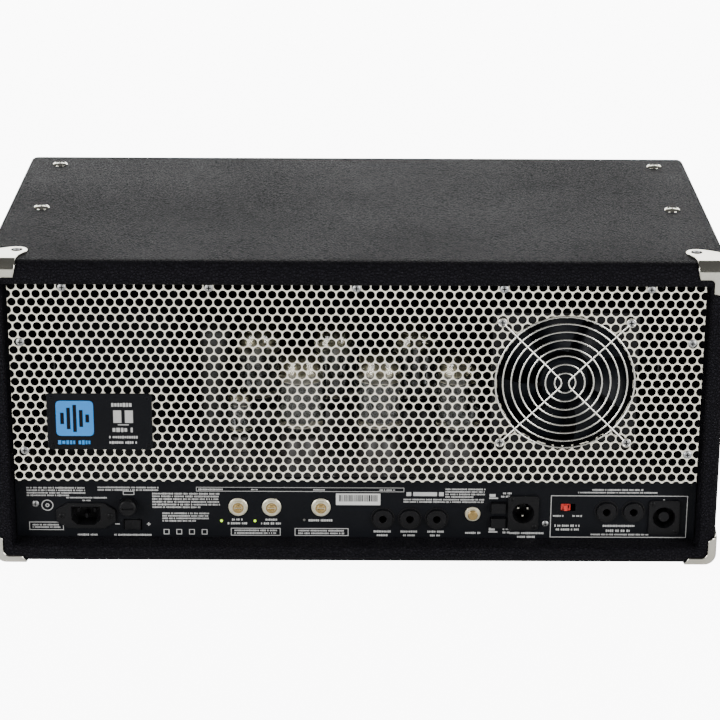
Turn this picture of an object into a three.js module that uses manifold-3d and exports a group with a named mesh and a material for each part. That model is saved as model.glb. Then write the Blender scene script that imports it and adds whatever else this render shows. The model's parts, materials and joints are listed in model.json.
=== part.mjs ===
// Valve guitar amplifier head: a covered plywood cabinet with a steel chassis inside.
// Millimetres, +Z up, front facing -Y, rear facing +Y, origin on the floor under the middle.
import * as THREE from 'three';
import { mergeVertices } from 'three/addons/utils/BufferGeometryUtils.js';
import Module from 'manifold-3d';

const wasm = await Module();
wasm.setup();

// ---- driving dimensions -------------------------------------------------------------------

const CABINET_WIDTH = 606;
const CABINET_DEPTH = 328;
const CABINET_HEIGHT = 266;
const TOP_THICKNESS = 20;
const BOARD_THICKNESS = 15;
const EDGE_RADIUS = 6;
const FOOT_HEIGHT = 20;
const FOOT_INSET = { side: 62, end: 78 };
const GAP = 0.3;

const CAP_THICKNESS = 1.2;
const CAP_LEG = 26;
const CAP_LEG_WIDTH = 13;
const CAP_LOBE = { across: 25.5, along: 28.5, radius: 8.8 };

const HANDLE_LENGTH = 232;
const HANDLE_HEIGHT = 30;
const HANDLE_RISE = 22;
const HANDLE_PLATE_THICKNESS = 6;
const STRAP_THICKNESS = 4.5;
const STRAP_SPAN = 176;
const HANDLE_Z = 172;

const GRILLE_RECESS = 4;
const GRILLE_THICKNESS = 1.2;
const GRILLE_BOTTOM = 73;
const GRILLE_HALF_WIDTH = 284.2;

const FAN_SIZE = 119.5;
const FAN_DEPTH = 25;
const FAN_SCREW_HALF_PITCH = 52.5;
const FAN_CENTRE = { rearX: 171.6, z: 182.5 };
const FAN_BORE_RADIUS = 57.5;
const FAN_BLADES = 7;
const GUARD_RADII = [8.6, 16.5, 24, 30.6, 37.4, 44.2, 50.9, 57.2];
const GUARD_WIRE_RADIUS = 0.8;

const BADGE = { rearX: -212, z: 146.7, width: 87, height: 49.7, thickness: 1.2 };

const PANEL_RECESS = 20;
const PANEL_THICKNESS = 2;
const PANEL_TOP = 90;
const SHEET = 1.5;

const CORNER_STEPS = 3;
const CIRCLE_STEPS = 32;
const ROUND_STEPS = 16;

// ---- derived places -----------------------------------------------------------------------

const CAP_PROUD = GAP + CAP_THICKNESS;
const REAR = (CABINET_DEPTH - CAP_PROUD) / 2;
const FRONT = REAR - CABINET_DEPTH;
const HALF_WIDTH = CABINET_WIDTH / 2;
const INNER_HALF = HALF_WIDTH - BOARD_THICKNESS;
const BOTTOM = FOOT_HEIGHT;
const TOP = BOTTOM + CABINET_HEIGHT;
const FLOOR = BOTTOM + BOARD_THICKNESS;
const CEILING = TOP - TOP_THICKNESS;

const GRILLE_FACE = REAR - GRILLE_RECESS;
const REAR_PANEL_FACE = REAR - PANEL_RECESS;
const FRONT_PANEL_FACE = FRONT + PANEL_RECESS;
const PANEL_BOTTOM = FLOOR + 0.5;
const CHASSIS_TOP = PANEL_TOP - 2;
const CHASSIS_REAR = REAR_PANEL_FACE - PANEL_THICKNESS - GAP;
const CHASSIS_FRONT = FRONT_PANEL_FACE + PANEL_THICKNESS + GAP;

// Places on the rear are given as someone facing the rear sees them, left to right.
const fromRear = (x) => -x;

// Sockets, switches and shafts on the rear panel: place across and height above the floor.
const MAINS_INLET = { x: -228, z: 55.2, width: 27, height: 20 };
const FUSE = { x: -192.1, z: 64.5, capRadius: 7.5, stemRadius: 5.5 };
const POLARITY = { x: -188.8, z: 46.7, width: 13.6, height: 9 };
const TRIMS = [
  { x: -99.4, z: 63.1 },
  { x: -71.1, z: 63.1 },
  { x: -29.4, z: 63.1 },
];
const TRIM_RADIUS = 3;
const LINE_JACKS = [
  { x: 23, z: 53.2 },
  { x: 45.8, z: 53.2 },
  { x: 68.6, z: 53.2 },
];
const SPEAKER_JACKS = [
  { x: 212, z: 60.4 },
  { x: 234.8, z: 60.4 },
];
const LEVEL = { x: 98.9, z: 57.5, radius: 4.2 };
const BUTTONS = [
  { name: 'push_button_upper', x: 120.4, z: 64.2 },
  { name: 'push_button_lower', x: 120.4, z: 50.6 },
];
const BUTTON = { width: 12, height: 9, proud: 5, depth: 14 };
const THREE_PIN = { x: 141.5, z: 59.1, radius: 9.3 };
const IMPEDANCE = { x: 179.4, z: 63.8, width: 8, height: 6, slot: 12.6 };
const TWIST_LOCK = { x: 260.7, z: 55.5, radius: 9.6, postRadius: 4.6 };

// Controls on the front panel, left to right for someone facing the front.
const FRONT_Z = 62;
const INPUT_JACK_X = [-254, -226];
const KNOB_X = [-168, -108, -48, 12, 72];
const ROCKERS = [
  { name: 'standby_rocker', x: 164 },
  { name: 'power_rocker', x: 206 },
];
const ROCKER = { width: 12, height: 21, tilt: 10 };

const POWER_VALVES = [
  { x: -47, depth: 70 },
  { x: 20, depth: 70 },
  { x: 87, depth: 70 },
  { x: -86, depth: 142 },
  { x: -19, depth: 142 },
  { x: 52, depth: 142 },
];

// ---- finishes -----------------------------------------------------------------------------

const finish = (color, roughness, metalness) =>
  new THREE.MeshStandardMaterial({ color, roughness, metalness });

const FINISH = {
  covering: finish(0x303034, 0.6, 0),
  nickel: finish(0xc6c7b8, 0.25, 1),
  rubber: finish(0x1a1a1a, 0.85, 0),
  grille: finish(0xd8d4c8, 0.5, 0.1),
  blackMetal: finish(0x17181a, 0.45, 0.6),
  blackPlastic: finish(0x151516, 0.5, 0),
  chassis: finish(0x9a9c9f, 0.4, 0.9),
  brass: finish(0xb89a5a, 0.35, 1),
  redPlastic: finish(0xa8201c, 0.45, 0),
  glass: finish(0xa9a79c, 0.15, 0),
  board: finish(0x3d5a36, 0.6, 0),
  brushed: finish(0xb4b8bc, 0.35, 0.9),
  cloth: finish(0x35363a, 0.9, 0),
};

// ---- solids -------------------------------------------------------------------------------

function toSolid(geometry) {
  const bare = geometry.clone();
  bare.deleteAttribute('normal');
  bare.deleteAttribute('uv');
  const welded = mergeVertices(bare, 1e-4);
  return new wasm.Manifold(
    new wasm.Mesh({
      numProp: 3,
      vertProperties: new Float32Array(welded.attributes.position.array),
      triVerts: new Uint32Array(welded.index.array),
    }),
  );
}

function toGeometry(body) {
  const mesh = body.getMesh();
  const geometry = new THREE.BufferGeometry();
  geometry.setAttribute('position', new THREE.BufferAttribute(mesh.vertProperties, 3));
  geometry.setIndex(new THREE.BufferAttribute(mesh.triVerts, 1));
  geometry.computeVertexNormals();
  return geometry;
}

function join(first, ...others) {
  let body = toSolid(first);
  for (const other of others) {
    body = body.add(toSolid(other));
  }
  return toGeometry(body);
}

function cut(first, ...holes) {
  let body = toSolid(first);
  for (const hole of holes) {
    body = body.subtract(toSolid(hole));
  }
  return toGeometry(body);
}

function outlineOf(points) {
  return new THREE.Shape(points.map(([u, v]) => new THREE.Vector2(u, v)));
}

// Points round an arc about (u, v), both ends included.
function arc(u, v, radius, from, to, steps = CORNER_STEPS) {
  const points = [];
  for (let step = 0; step <= steps; step += 1) {
    const angle = THREE.MathUtils.lerp(from, to, step / steps);
    points.push([u + radius * Math.cos(angle), v + radius * Math.sin(angle)]);
  }
  return points;
}

function rectangle(left, right, low, high, radius = 0) {
  if (radius === 0) {
    return outlineOf([[left, low], [right, low], [right, high], [left, high]]);
  }
  const quarter = Math.PI / 2;
  return outlineOf([
    ...arc(right - radius, low + radius, radius, -quarter, 0),
    ...arc(right - radius, high - radius, radius, 0, quarter),
    ...arc(left + radius, high - radius, radius, quarter, 2 * quarter),
    ...arc(left + radius, low + radius, radius, 2 * quarter, 3 * quarter),
  ]);
}

// A round hole for an outline, as a polygon of CIRCLE_STEPS sides.
function roundHole(u, v, radius) {
  const turn = Math.PI * 2;
  const points = arc(u, v, radius, 0, -turn, CIRCLE_STEPS).slice(0, -1);
  return new THREE.Path(points.map(([x, y]) => new THREE.Vector2(x, y)));
}

// A prism along an axis. Its outline is read in (x, y) for z, (x, z) for y and (y, z) for x.
function prism(outline, axis, low, high) {
  const geometry = new THREE.ExtrudeGeometry(outline, {
    depth: high - low,
    bevelEnabled: false,
  });
  if (axis === 'z') {
    return geometry.translate(0, 0, low);
  }
  geometry.rotateX(Math.PI / 2);
  if (axis === 'y') {
    return geometry.translate(0, high, 0);
  }
  return geometry.rotateZ(Math.PI / 2).translate(low, 0, 0);
}

function block(x, y, z) {
  return prism(rectangle(x[0], x[1], y[0], y[1]), 'z', z[0], z[1]);
}

// A turned piece about the y direction. Its profile is [radius, y] pairs.
function turned(profile, x, z, steps = ROUND_STEPS) {
  const points = profile.map(([radius, y]) => new THREE.Vector2(radius, y));
  const closed = profile[0][0] === 0 ? points : [...points, points[0]];
  return new THREE.LatheGeometry(closed, steps).translate(x, 0, z);
}

// A turned piece about the z direction. Its profile is [radius, z] pairs, bottom first.
function upright(profile, x, y, steps = ROUND_STEPS) {
  const points = profile.map(([radius, z]) => new THREE.Vector2(radius, z));
  return new THREE.LatheGeometry(points, steps).rotateX(Math.PI / 2).translate(x, y, 0);
}

function rod(x, z, radius, low, high, steps = ROUND_STEPS) {
  return turned([[0, low], [radius, low], [radius, high], [0, high]], x, z, steps);
}

const amplifier = new THREE.Group();

function add(name, geometry, material) {
  const mesh = new THREE.Mesh(geometry, material);
  mesh.name = name;
  amplifier.add(mesh);
  return mesh;
}

// ---- cabinet ------------------------------------------------------------------------------

// A horizontal board whose two long outer edges are rounded; `up` is 1 for the top board.
function horizontalBoard(low, high, up) {
  const outer = up > 0 ? high : low;
  const inner = up > 0 ? low : high;
  const centreZ = outer - up * EDGE_RADIUS;
  const centreX = HALF_WIDTH - EDGE_RADIUS;
  const quarter = (up * Math.PI) / 2;
  const outline = outlineOf([
    [-HALF_WIDTH, inner],
    [HALF_WIDTH, inner],
    ...arc(centreX, centreZ, EDGE_RADIUS, 0, quarter),
    ...arc(-centreX, centreZ, EDGE_RADIUS, quarter, 2 * quarter),
  ]);
  return prism(outline, 'y', FRONT, REAR);
}

function addCabinet() {
  add('top_board', horizontalBoard(CEILING, TOP, 1), FINISH.covering);
  add('bottom_board', horizontalBoard(BOTTOM, FLOOR, -1), FINISH.covering);
  for (const [name, side] of [['left_board', -1], ['right_board', 1]]) {
    const across = [side * INNER_HALF, side * HALF_WIDTH].sort((a, b) => a - b);
    const board = block(across, [FRONT, REAR], [FLOOR + GAP, CEILING - GAP]);
    add(name, board, FINISH.covering);
  }
}

// One face of a corner cap: a square heel at the corner with a rounded tongue for its screw.
function lobeOutline(cornerU, cornerV, inU, inV) {
  const { across, along, radius } = CAP_LOBE;
  const tongue = arc(across, along, radius, -0.3, 2.2, 2 * CORNER_STEPS);
  const points = [[0, 0], [CAP_LEG, 0], ...tongue, [0, CAP_LEG]];
  return outlineOf(points.map(([u, v]) => [cornerU + inU * u, cornerV + inV * v]));
}

// A pressed metal cap on a rear corner: rear L plate, side tongue and top or bottom tongue.
function cornerCap(side, up) {
  const cornerX = side * (HALF_WIDTH + CAP_PROUD);
  const cornerY = REAR + CAP_PROUD;
  const cornerZ = up > 0 ? TOP + CAP_PROUD : BOTTOM - CAP_PROUD;
  const leg = CAP_LEG;
  const narrow = CAP_LEG_WIDTH;
  const rearOutline = outlineOf(
    [[0, 0], [leg, 0], [leg, narrow], [narrow, narrow], [narrow, leg], [0, leg]].map(
      ([u, v]) => [cornerX - side * u, cornerZ - up * v],
    ),
  );
  const rear = prism(rearOutline, 'y', cornerY - CAP_THICKNESS, cornerY);
  const levelLow = up > 0 ? cornerZ - CAP_THICKNESS : cornerZ;
  const level = prism(
    lobeOutline(cornerX, cornerY, -side, -1), 'z', levelLow, levelLow + CAP_THICKNESS,
  );
  const sideLow = side > 0 ? cornerX - CAP_THICKNESS : cornerX;
  const sidePlate = prism(
    lobeOutline(cornerY, cornerZ, -1, -up), 'x', sideLow, sideLow + CAP_THICKNESS,
  );
  return join(rear, level, sidePlate);
}

function addCornerCaps() {
  for (const [level, up] of [['top', 1], ['bottom', -1]]) {
    for (const [hand, side] of [['left', -1], ['right', 1]]) {
      add(`corner_cap_${level}_${hand}`, cornerCap(side, up), FINISH.nickel);
    }
  }
}

function addFeet() {
  const height = FOOT_HEIGHT - GAP;
  const profile = [[0, 0], [15, 0], [16, 1], [19, height], [0, height]];
  let number = 1;
  for (const side of [-1, 1]) {
    for (const y of [FRONT + FOOT_INSET.end, REAR - FOOT_INSET.end]) {
      const x = side * (HALF_WIDTH - FOOT_INSET.side);
      add(`foot_${number}`, upright(profile, x, y), FINISH.rubber);
      number += 1;
    }
  }
}

// A strap that arches out between two end plates, seen from above and carried up its width.
function handle(side) {
  const seat = HALF_WIDTH + GAP;
  const half = HANDLE_LENGTH / 2;
  const arch = STRAP_SPAN / 2;
  const rise = HANDLE_RISE - HANDLE_PLATE_THICKNESS;
  const steps = 16;
  const outer = [[0, -half], [HANDLE_PLATE_THICKNESS, -half]];
  const inner = [];
  for (let step = 0; step <= steps; step += 1) {
    const y = THREE.MathUtils.lerp(-arch, arch, step / steps);
    const lift = rise * (0.5 + 0.5 * Math.cos((Math.PI * y) / arch));
    outer.push([HANDLE_PLATE_THICKNESS + lift, y]);
    if (step > 0 && step < steps) {
      inner.unshift([HANDLE_PLATE_THICKNESS + lift - STRAP_THICKNESS, y]);
    }
  }
  outer.push([HANDLE_PLATE_THICKNESS, half], [0, half], [0, arch]);
  const points = [...outer, ...inner, [0, -arch]];
  const outline = outlineOf(points.map(([x, y]) => [side * (seat + x), y]));
  return prism(outline, 'z', HANDLE_Z - HANDLE_HEIGHT / 2, HANDLE_Z + HANDLE_HEIGHT / 2);
}

function addHandles() {
  add('left_handle', handle(-1), FINISH.rubber);
  add('right_handle', handle(1), FINISH.rubber);
}

// ---- rear grille and fan ------------------------------------------------------------------

function addGrille() {
  const fanX = fromRear(FAN_CENTRE.rearX);
  const edge = GRILLE_HALF_WIDTH;
  const outline = rectangle(-edge, edge, BOTTOM + GRILLE_BOTTOM, CEILING - GAP);
  outline.holes.push(roundHole(fanX, FAN_CENTRE.z, FAN_BORE_RADIUS - 1.5));
  const plate = prism(outline, 'y', GRILLE_FACE - GRILLE_THICKNESS, GRILLE_FACE);
  add('rear_grille', plate, FINISH.grille);

  const badgeX = fromRear(BADGE.rearX);
  const badgeOutline = rectangle(
    badgeX - BADGE.width / 2, badgeX + BADGE.width / 2,
    BADGE.z - BADGE.height / 2, BADGE.z + BADGE.height / 2, 4,
  );
  const badgeLow = GRILLE_FACE + GAP;
  add('badge_plate', prism(badgeOutline, 'y', badgeLow, badgeLow + BADGE.thickness), FINISH.blackMetal);
}

function ring(radius, wire, x, y, z, steps) {
  const geometry = new THREE.TorusGeometry(radius, wire, 4, steps);
  return geometry.rotateX(Math.PI / 2).translate(x, y, z);
}

function wireBetween(start, end, radius) {
  const section = outlineOf(arc(0, 0, radius, 0, Math.PI * 2, 6).slice(0, -1));
  const path = new THREE.LineCurve3(start, end);
  return new THREE.ExtrudeGeometry(section, { steps: 1, bevelEnabled: false, extrudePath: path });
}

function fanGuard() {
  const x = fromRear(FAN_CENTRE.rearX);
  const wireY = GRILLE_FACE + GAP + GUARD_WIRE_RADIUS;
  const ringY = wireY + 1.1;
  const pitch = FAN_SCREW_HALF_PITCH;
  const inside = GUARD_RADII[0];
  let body = toSolid(ring(GUARD_RADII[0], GUARD_WIRE_RADIUS, x, ringY, FAN_CENTRE.z, 12));
  for (const radius of GUARD_RADII.slice(1)) {
    body = body.add(toSolid(ring(radius, GUARD_WIRE_RADIUS, x, ringY, FAN_CENTRE.z, 18)));
  }
  for (const side of [-1, 1]) {
    for (const up of [-1, 1]) {
      const eye = new THREE.Vector3(x + side * (pitch - 2.6), wireY, FAN_CENTRE.z + up * (pitch - 2.6));
      const middle = new THREE.Vector3(x + side * inside, wireY, FAN_CENTRE.z + up * 0.6);
      body = body.add(toSolid(wireBetween(eye, middle, GUARD_WIRE_RADIUS)));
      const eyeRing = ring(3.2, GUARD_WIRE_RADIUS, x + side * pitch, wireY, FAN_CENTRE.z + up * pitch, 8);
      body = body.add(toSolid(eyeRing));
    }
  }
  return toGeometry(body);
}

function addFan() {
  const x = fromRear(FAN_CENTRE.rearX);
  const { z } = FAN_CENTRE;
  const half = FAN_SIZE / 2;
  const high = GRILLE_FACE - GRILLE_THICKNESS - GAP;
  const low = high - FAN_DEPTH;
  const strutDepth = 3;
  const outline = rectangle(x - half, x + half, z - half, z + half, 5);
  outline.holes.push(roundHole(x, z, FAN_BORE_RADIUS));
  const struts = [0, 1, 2].map((index) => {
    const bar = block([8, FAN_BORE_RADIUS + 1], [low, low + strutDepth], [-2, 2]);
    return bar.rotateY((index * Math.PI * 2) / 3 + 0.5).translate(x, 0, z);
  });
  const motorPlate = rod(x, z, 18, low, low + strutDepth);
  add('fan_frame', join(prism(outline, 'y', low, high), motorPlate, ...struts), FINISH.blackPlastic);

  const rotorLow = low + strutDepth + 1;
  const rotorHigh = high - 2;
  const middle = (rotorLow + rotorHigh) / 2;
  const blades = [];
  for (let index = 0; index < FAN_BLADES; index += 1) {
    const blade = block([16, 54], [-1, 1], [-11, 11]).rotateX(0.62).translate(0, middle, 0);
    blades.push(blade.rotateY((index * Math.PI * 2) / FAN_BLADES).translate(x, 0, z));
  }
  const hub = rod(x, z, 19.5, rotorLow, rotorHigh);
  add('fan_rotor', join(hub, ...blades), FINISH.blackPlastic);
  add('fan_guard', fanGuard(), FINISH.nickel);
}

// ---- chassis and what stands on it --------------------------------------------------------

function panelHoles(centres, low, high) {
  return centres.map(({ x, z, radius }) => rod(x, z, radius, low - 1, high + 1, 16));
}

function slot(x, z, width, height, low, high) {
  return block([x - width / 2, x + width / 2], [low - 1, high + 1], [z - height / 2, z + height / 2]);
}

function addRearPanel() {
  const high = REAR_PANEL_FACE;
  const low = high - PANEL_THICKNESS;
  const sheet = block([1 - INNER_HALF, INNER_HALF - 1], [low, high], [PANEL_BOTTOM, PANEL_TOP]);
  const at = (place, radius) => ({ x: fromRear(place.x), z: place.z, radius });
  const round = [
    at(FUSE, FUSE.stemRadius + 0.5),
    ...TRIMS.map((place) => at(place, TRIM_RADIUS + 0.4)),
    ...LINE_JACKS.map((place) => at(place, 5.3)),
    ...SPEAKER_JACKS.map((place) => at(place, 5.3)),
    at(LEVEL, 3.5),
    at(THREE_PIN, THREE_PIN.radius + 1.8),
    at(TWIST_LOCK, TWIST_LOCK.radius + 1.8),
  ];
  const slots = [
    slot(
      fromRear(MAINS_INLET.x), MAINS_INLET.z, MAINS_INLET.width + 0.8, MAINS_INLET.height + 0.8, low, high,
    ),
    slot(fromRear(POLARITY.x), POLARITY.z, POLARITY.width + 1.6, POLARITY.height + 1, low, high),
    ...BUTTONS.map(({ x, z }) => slot(fromRear(x), z, BUTTON.width + 0.8, BUTTON.height + 0.8, low, high)),
    slot(fromRear(IMPEDANCE.x), IMPEDANCE.z, IMPEDANCE.slot, IMPEDANCE.height + 0.8, low, high),
  ];
  add('rear_panel', cut(sheet, ...panelHoles(round, low, high), ...slots), FINISH.blackMetal);
}

// A folded steel tray turned over: top and side walls, open below, closed by the panels at its ends.
function addChassis() {
  const half = INNER_HALF - 5;
  const outer = block([-half, half], [CHASSIS_FRONT, CHASSIS_REAR], [FLOOR + GAP, CHASSIS_TOP]);
  const hollow = half - SHEET;
  const inner = block(
    [-hollow, hollow], [CHASSIS_FRONT - 1, CHASSIS_REAR + 1], [FLOOR - 1, CHASSIS_TOP - SHEET],
  );
  add('chassis', cut(outer, inner), FINISH.chassis);
  add('circuit_board', block([-200, 200], [-95, 95], [52, 53.6]), FINISH.board);
}

// A transformer: an upright stack of iron with a rounded cover over the winding on each side.
function transformer(x, y, width, depth, height) {
  const low = CHASSIS_TOP + GAP;
  const core = block([x - width / 2, x + width / 2], [y - depth / 4, y + depth / 4], [low, low + height]);
  const coverOutline = rectangle(x - width / 2 + 9, x + width / 2 - 9, low + 9, low + height - 9, 12);
  const cover = prism(coverOutline, 'y', y - depth / 2, y + depth / 2);
  return join(core, cover);
}

function addIron() {
  add('power_transformer', transformer(fromRear(-212), -40, 112, 118, 118), FINISH.blackMetal);
  add('output_transformer', transformer(fromRear(205), -20, 104, 112, 108), FINISH.blackMetal);
  const low = CHASSIS_TOP + GAP;
  const can = [[0, low], [13, low], [13, low + 88], [11.5, low + 90], [0, low + 90]];
  add('filter_capacitor', upright(can, fromRear(-124), REAR - 150), FINISH.nickel);
}

function addValves() {
  const low = CHASSIS_TOP + GAP;
  const big = [
    [0, 0], [20, 0], [20, 5], [17, 5], [17, 20], [22, 38], [22, 76], [15, 94], [0, 100],
  ].map(([radius, z]) => [radius, low + z]);
  POWER_VALVES.forEach(({ x, depth }, index) => {
    add(`power_valve_${index + 1}`, upright(big, fromRear(x), REAR - depth), FINISH.glass);
  });
  const small = [
    [0, 0], [12, 0], [12, 4], [10.5, 4], [10.5, 46], [8.5, 51], [2.5, 53.5], [0, 56.5],
  ].map(([radius, z]) => [radius, low + z]);
  add('driver_valve', upright(small, fromRear(-100), REAR - 92, 12), FINISH.glass);
}

// ---- rear panel fittings ------------------------------------------------------------------

function mainsInlet() {
  const x = fromRear(MAINS_INLET.x);
  const { z } = MAINS_INLET;
  const face = REAR_PANEL_FACE + GAP;
  const flangeThickness = 2;
  const mouth = face + flangeThickness;
  const flangeOutline = outlineOf([
    [x - 25, z - 5], [x - 15.5, z - 11.5], [x + 15.5, z - 11.5],
    [x + 25, z - 5], [x + 25, z + 5], [x + 15.5, z + 11.5], [x - 15.5, z + 11.5], [x - 25, z + 5],
  ]);
  const flange = prism(flangeOutline, 'y', face, mouth);
  const half = { x: MAINS_INLET.width / 2, z: MAINS_INLET.height / 2 };
  const body = block([x - half.x, x + half.x], [face - 18, face + 0.5], [z - half.z, z + half.z]);
  const cavityOutline = outlineOf([
    [x - 12.2, z - 4], [x - 7.5, z - 8.2], [x + 7.5, z - 8.2], [x + 12.2, z - 4],
    [x + 12.2, z + 8.2], [x - 12.2, z + 8.2],
  ]);
  const floorY = mouth - 16;
  const cavity = prism(cavityOutline, 'y', floorY, mouth + 1);
  const pins = [[-7, 3], [7, 3], [0, -2.5]].map(([across, up]) =>
    block([x + across - 1, x + across + 1], [floorY - 1, mouth - 6], [z + up - 2, z + up + 2]),
  );
  let shell = toSolid(flange).add(toSolid(body)).subtract(toSolid(cavity));
  for (const pin of pins) {
    shell = shell.add(toSolid(pin));
  }
  return toGeometry(shell);
}

// A quarter-inch jack: nut, threaded neck through the panel, housing behind, blind bore.
function jack(x, z, face, outward) {
  const bore = 3.3;
  const y = (distance) => face + outward * distance;
  const profile = [
    [0, y(-32)], [8.2, y(-32)], [8.2, y(-PANEL_THICKNESS - 0.4)], [4.9, y(-PANEL_THICKNESS - 0.4)],
    [4.9, y(GAP)], [8.4, y(GAP)], [8.4, y(3.2)], [bore, y(3.2)], [bore, y(-29)], [0, y(-29)],
  ];
  return turned(outward > 0 ? profile : profile.reverse(), x, z, 16);
}

// A round panel socket with a rectangular flange, an open well and contacts standing in it.
function flangedSocket(place, wellRadius, contacts) {
  const x = fromRear(place.x);
  const { z } = place;
  const face = REAR_PANEL_FACE + GAP;
  const mouth = face + 2;
  const floorY = mouth - 16;
  const flange = prism(rectangle(x - 12.9, x + 12.9, z - 15.5, z + 15.5, 2.5), 'y', face, mouth);
  const barrel = rod(x, z, wellRadius + 1.5, face - 17, face + 0.5);
  const well = rod(x, z, wellRadius, floorY, mouth + 1);
  let body = toSolid(flange).add(toSolid(barrel)).subtract(toSolid(well));
  for (const contact of contacts) {
    const top = mouth - contact.below;
    body = body.add(toSolid(rod(x + contact.across, z + contact.up, contact.radius, floorY - 0.5, top, 10)));
  }
  return toGeometry(body);
}

function addRearFittings() {
  add('mains_inlet', mainsInlet(), FINISH.blackPlastic);
  const face = REAR_PANEL_FACE;

  const cap = [
    [0, face - 20], [FUSE.stemRadius, face - 20], [FUSE.stemRadius, face + GAP],
    [FUSE.capRadius, face + GAP], [FUSE.capRadius, face + 8], [FUSE.capRadius - 1, face + 9], [0, face + 9],
  ];
  const fuseX = fromRear(FUSE.x);
  const coinSlot = block([fuseX - 5, fuseX + 5], [face + 7.6, face + 10], [FUSE.z - 0.9, FUSE.z + 0.9]);
  add('fuse_cap', cut(turned(cap, fuseX, FUSE.z), coinSlot), FINISH.blackPlastic);

  const half = POLARITY.width / 2;
  const rockerX = fromRear(POLARITY.x);
  const rockerOutline = outlineOf(
    [[-half, 2.2], [-half, -1], [-4.5, -5], [4.5, -5], [half, -1], [half, 2.2], [0, 0.9]].map(
      ([u, v]) => [rockerX + u, face + v],
    ),
  );
  const rockerLow = POLARITY.z - POLARITY.height / 2;
  const rocker = prism(rockerOutline, 'z', rockerLow, rockerLow + POLARITY.height);
  add('polarity_rocker', rocker, FINISH.blackPlastic);

  TRIMS.forEach((place, index) => {
    const x = fromRear(place.x);
    const shaft = rod(x, place.z, TRIM_RADIUS, face - 14, face + 3.5, 16);
    const driverSlot = block([x - 4, x + 4], [face + 2.2, face + 5], [place.z - 0.5, place.z + 0.5]);
    add(`trim_shaft_${index + 1}`, cut(shaft, driverSlot), FINISH.brass);
  });
  LINE_JACKS.forEach((place, index) => {
    add(`line_jack_${index + 1}`, jack(fromRear(place.x), place.z, face, 1), FINISH.blackPlastic);
  });
  SPEAKER_JACKS.forEach((place, index) => {
    add(`speaker_jack_${index + 1}`, jack(fromRear(place.x), place.z, face, 1), FINISH.blackPlastic);
  });

  const level = [
    [0, face - 12], [3, face - 12], [3, face + 1], [LEVEL.radius, face + 1],
    [LEVEL.radius, face + 3.9], [LEVEL.radius - 0.6, face + 4.5], [0, face + 4.5],
  ];
  const levelX = fromRear(LEVEL.x);
  const levelMark = block([levelX - 0.4, levelX + 0.4], [face + 4, face + 5], [LEVEL.z + 1, LEVEL.z + 5]);
  add('level_shaft', cut(turned(level, levelX, LEVEL.z), levelMark), FINISH.blackPlastic);

  for (const { name, x, z } of BUTTONS) {
    const centre = fromRear(x);
    const outline = rectangle(
      centre - BUTTON.width / 2, centre + BUTTON.width / 2,
      z - BUTTON.height / 2, z + BUTTON.height / 2, 0.8,
    );
    const cap = prism(outline, 'y', face + BUTTON.proud - BUTTON.depth, face + BUTTON.proud);
    add(name, cap, FINISH.blackPlastic);
  }

  const pinCircle = 4.6;
  const pins = [Math.PI / 6, (Math.PI * 5) / 6, -Math.PI / 2].map((angle) => ({
    across: pinCircle * Math.cos(angle), up: pinCircle * Math.sin(angle), radius: 1.2, below: 6,
  }));
  add('three_pin_socket', flangedSocket(THREE_PIN, THREE_PIN.radius, pins), FINISH.blackPlastic);
  const post = [{ across: 0, up: 0, radius: TWIST_LOCK.postRadius, below: 2 }];
  add('twist_lock_socket', flangedSocket(TWIST_LOCK, TWIST_LOCK.radius, post), FINISH.blackPlastic);

  // The slide rests at the left-hand end of its slot, as seen from the rear.
  const slack = (IMPEDANCE.slot - IMPEDANCE.width) / 2 - 0.3;
  const slideX = fromRear(IMPEDANCE.x) + slack;
  const knob = slot(slideX, IMPEDANCE.z, IMPEDANCE.width, IMPEDANCE.height, face - 3, face - 1.3);
  const ridge = slot(slideX, IMPEDANCE.z, 3, IMPEDANCE.height - 1, face - 2, face + 0.8);
  add('impedance_slide', join(knob, ridge), FINISH.redPlastic);
}

// ---- front --------------------------------------------------------------------------------

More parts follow.
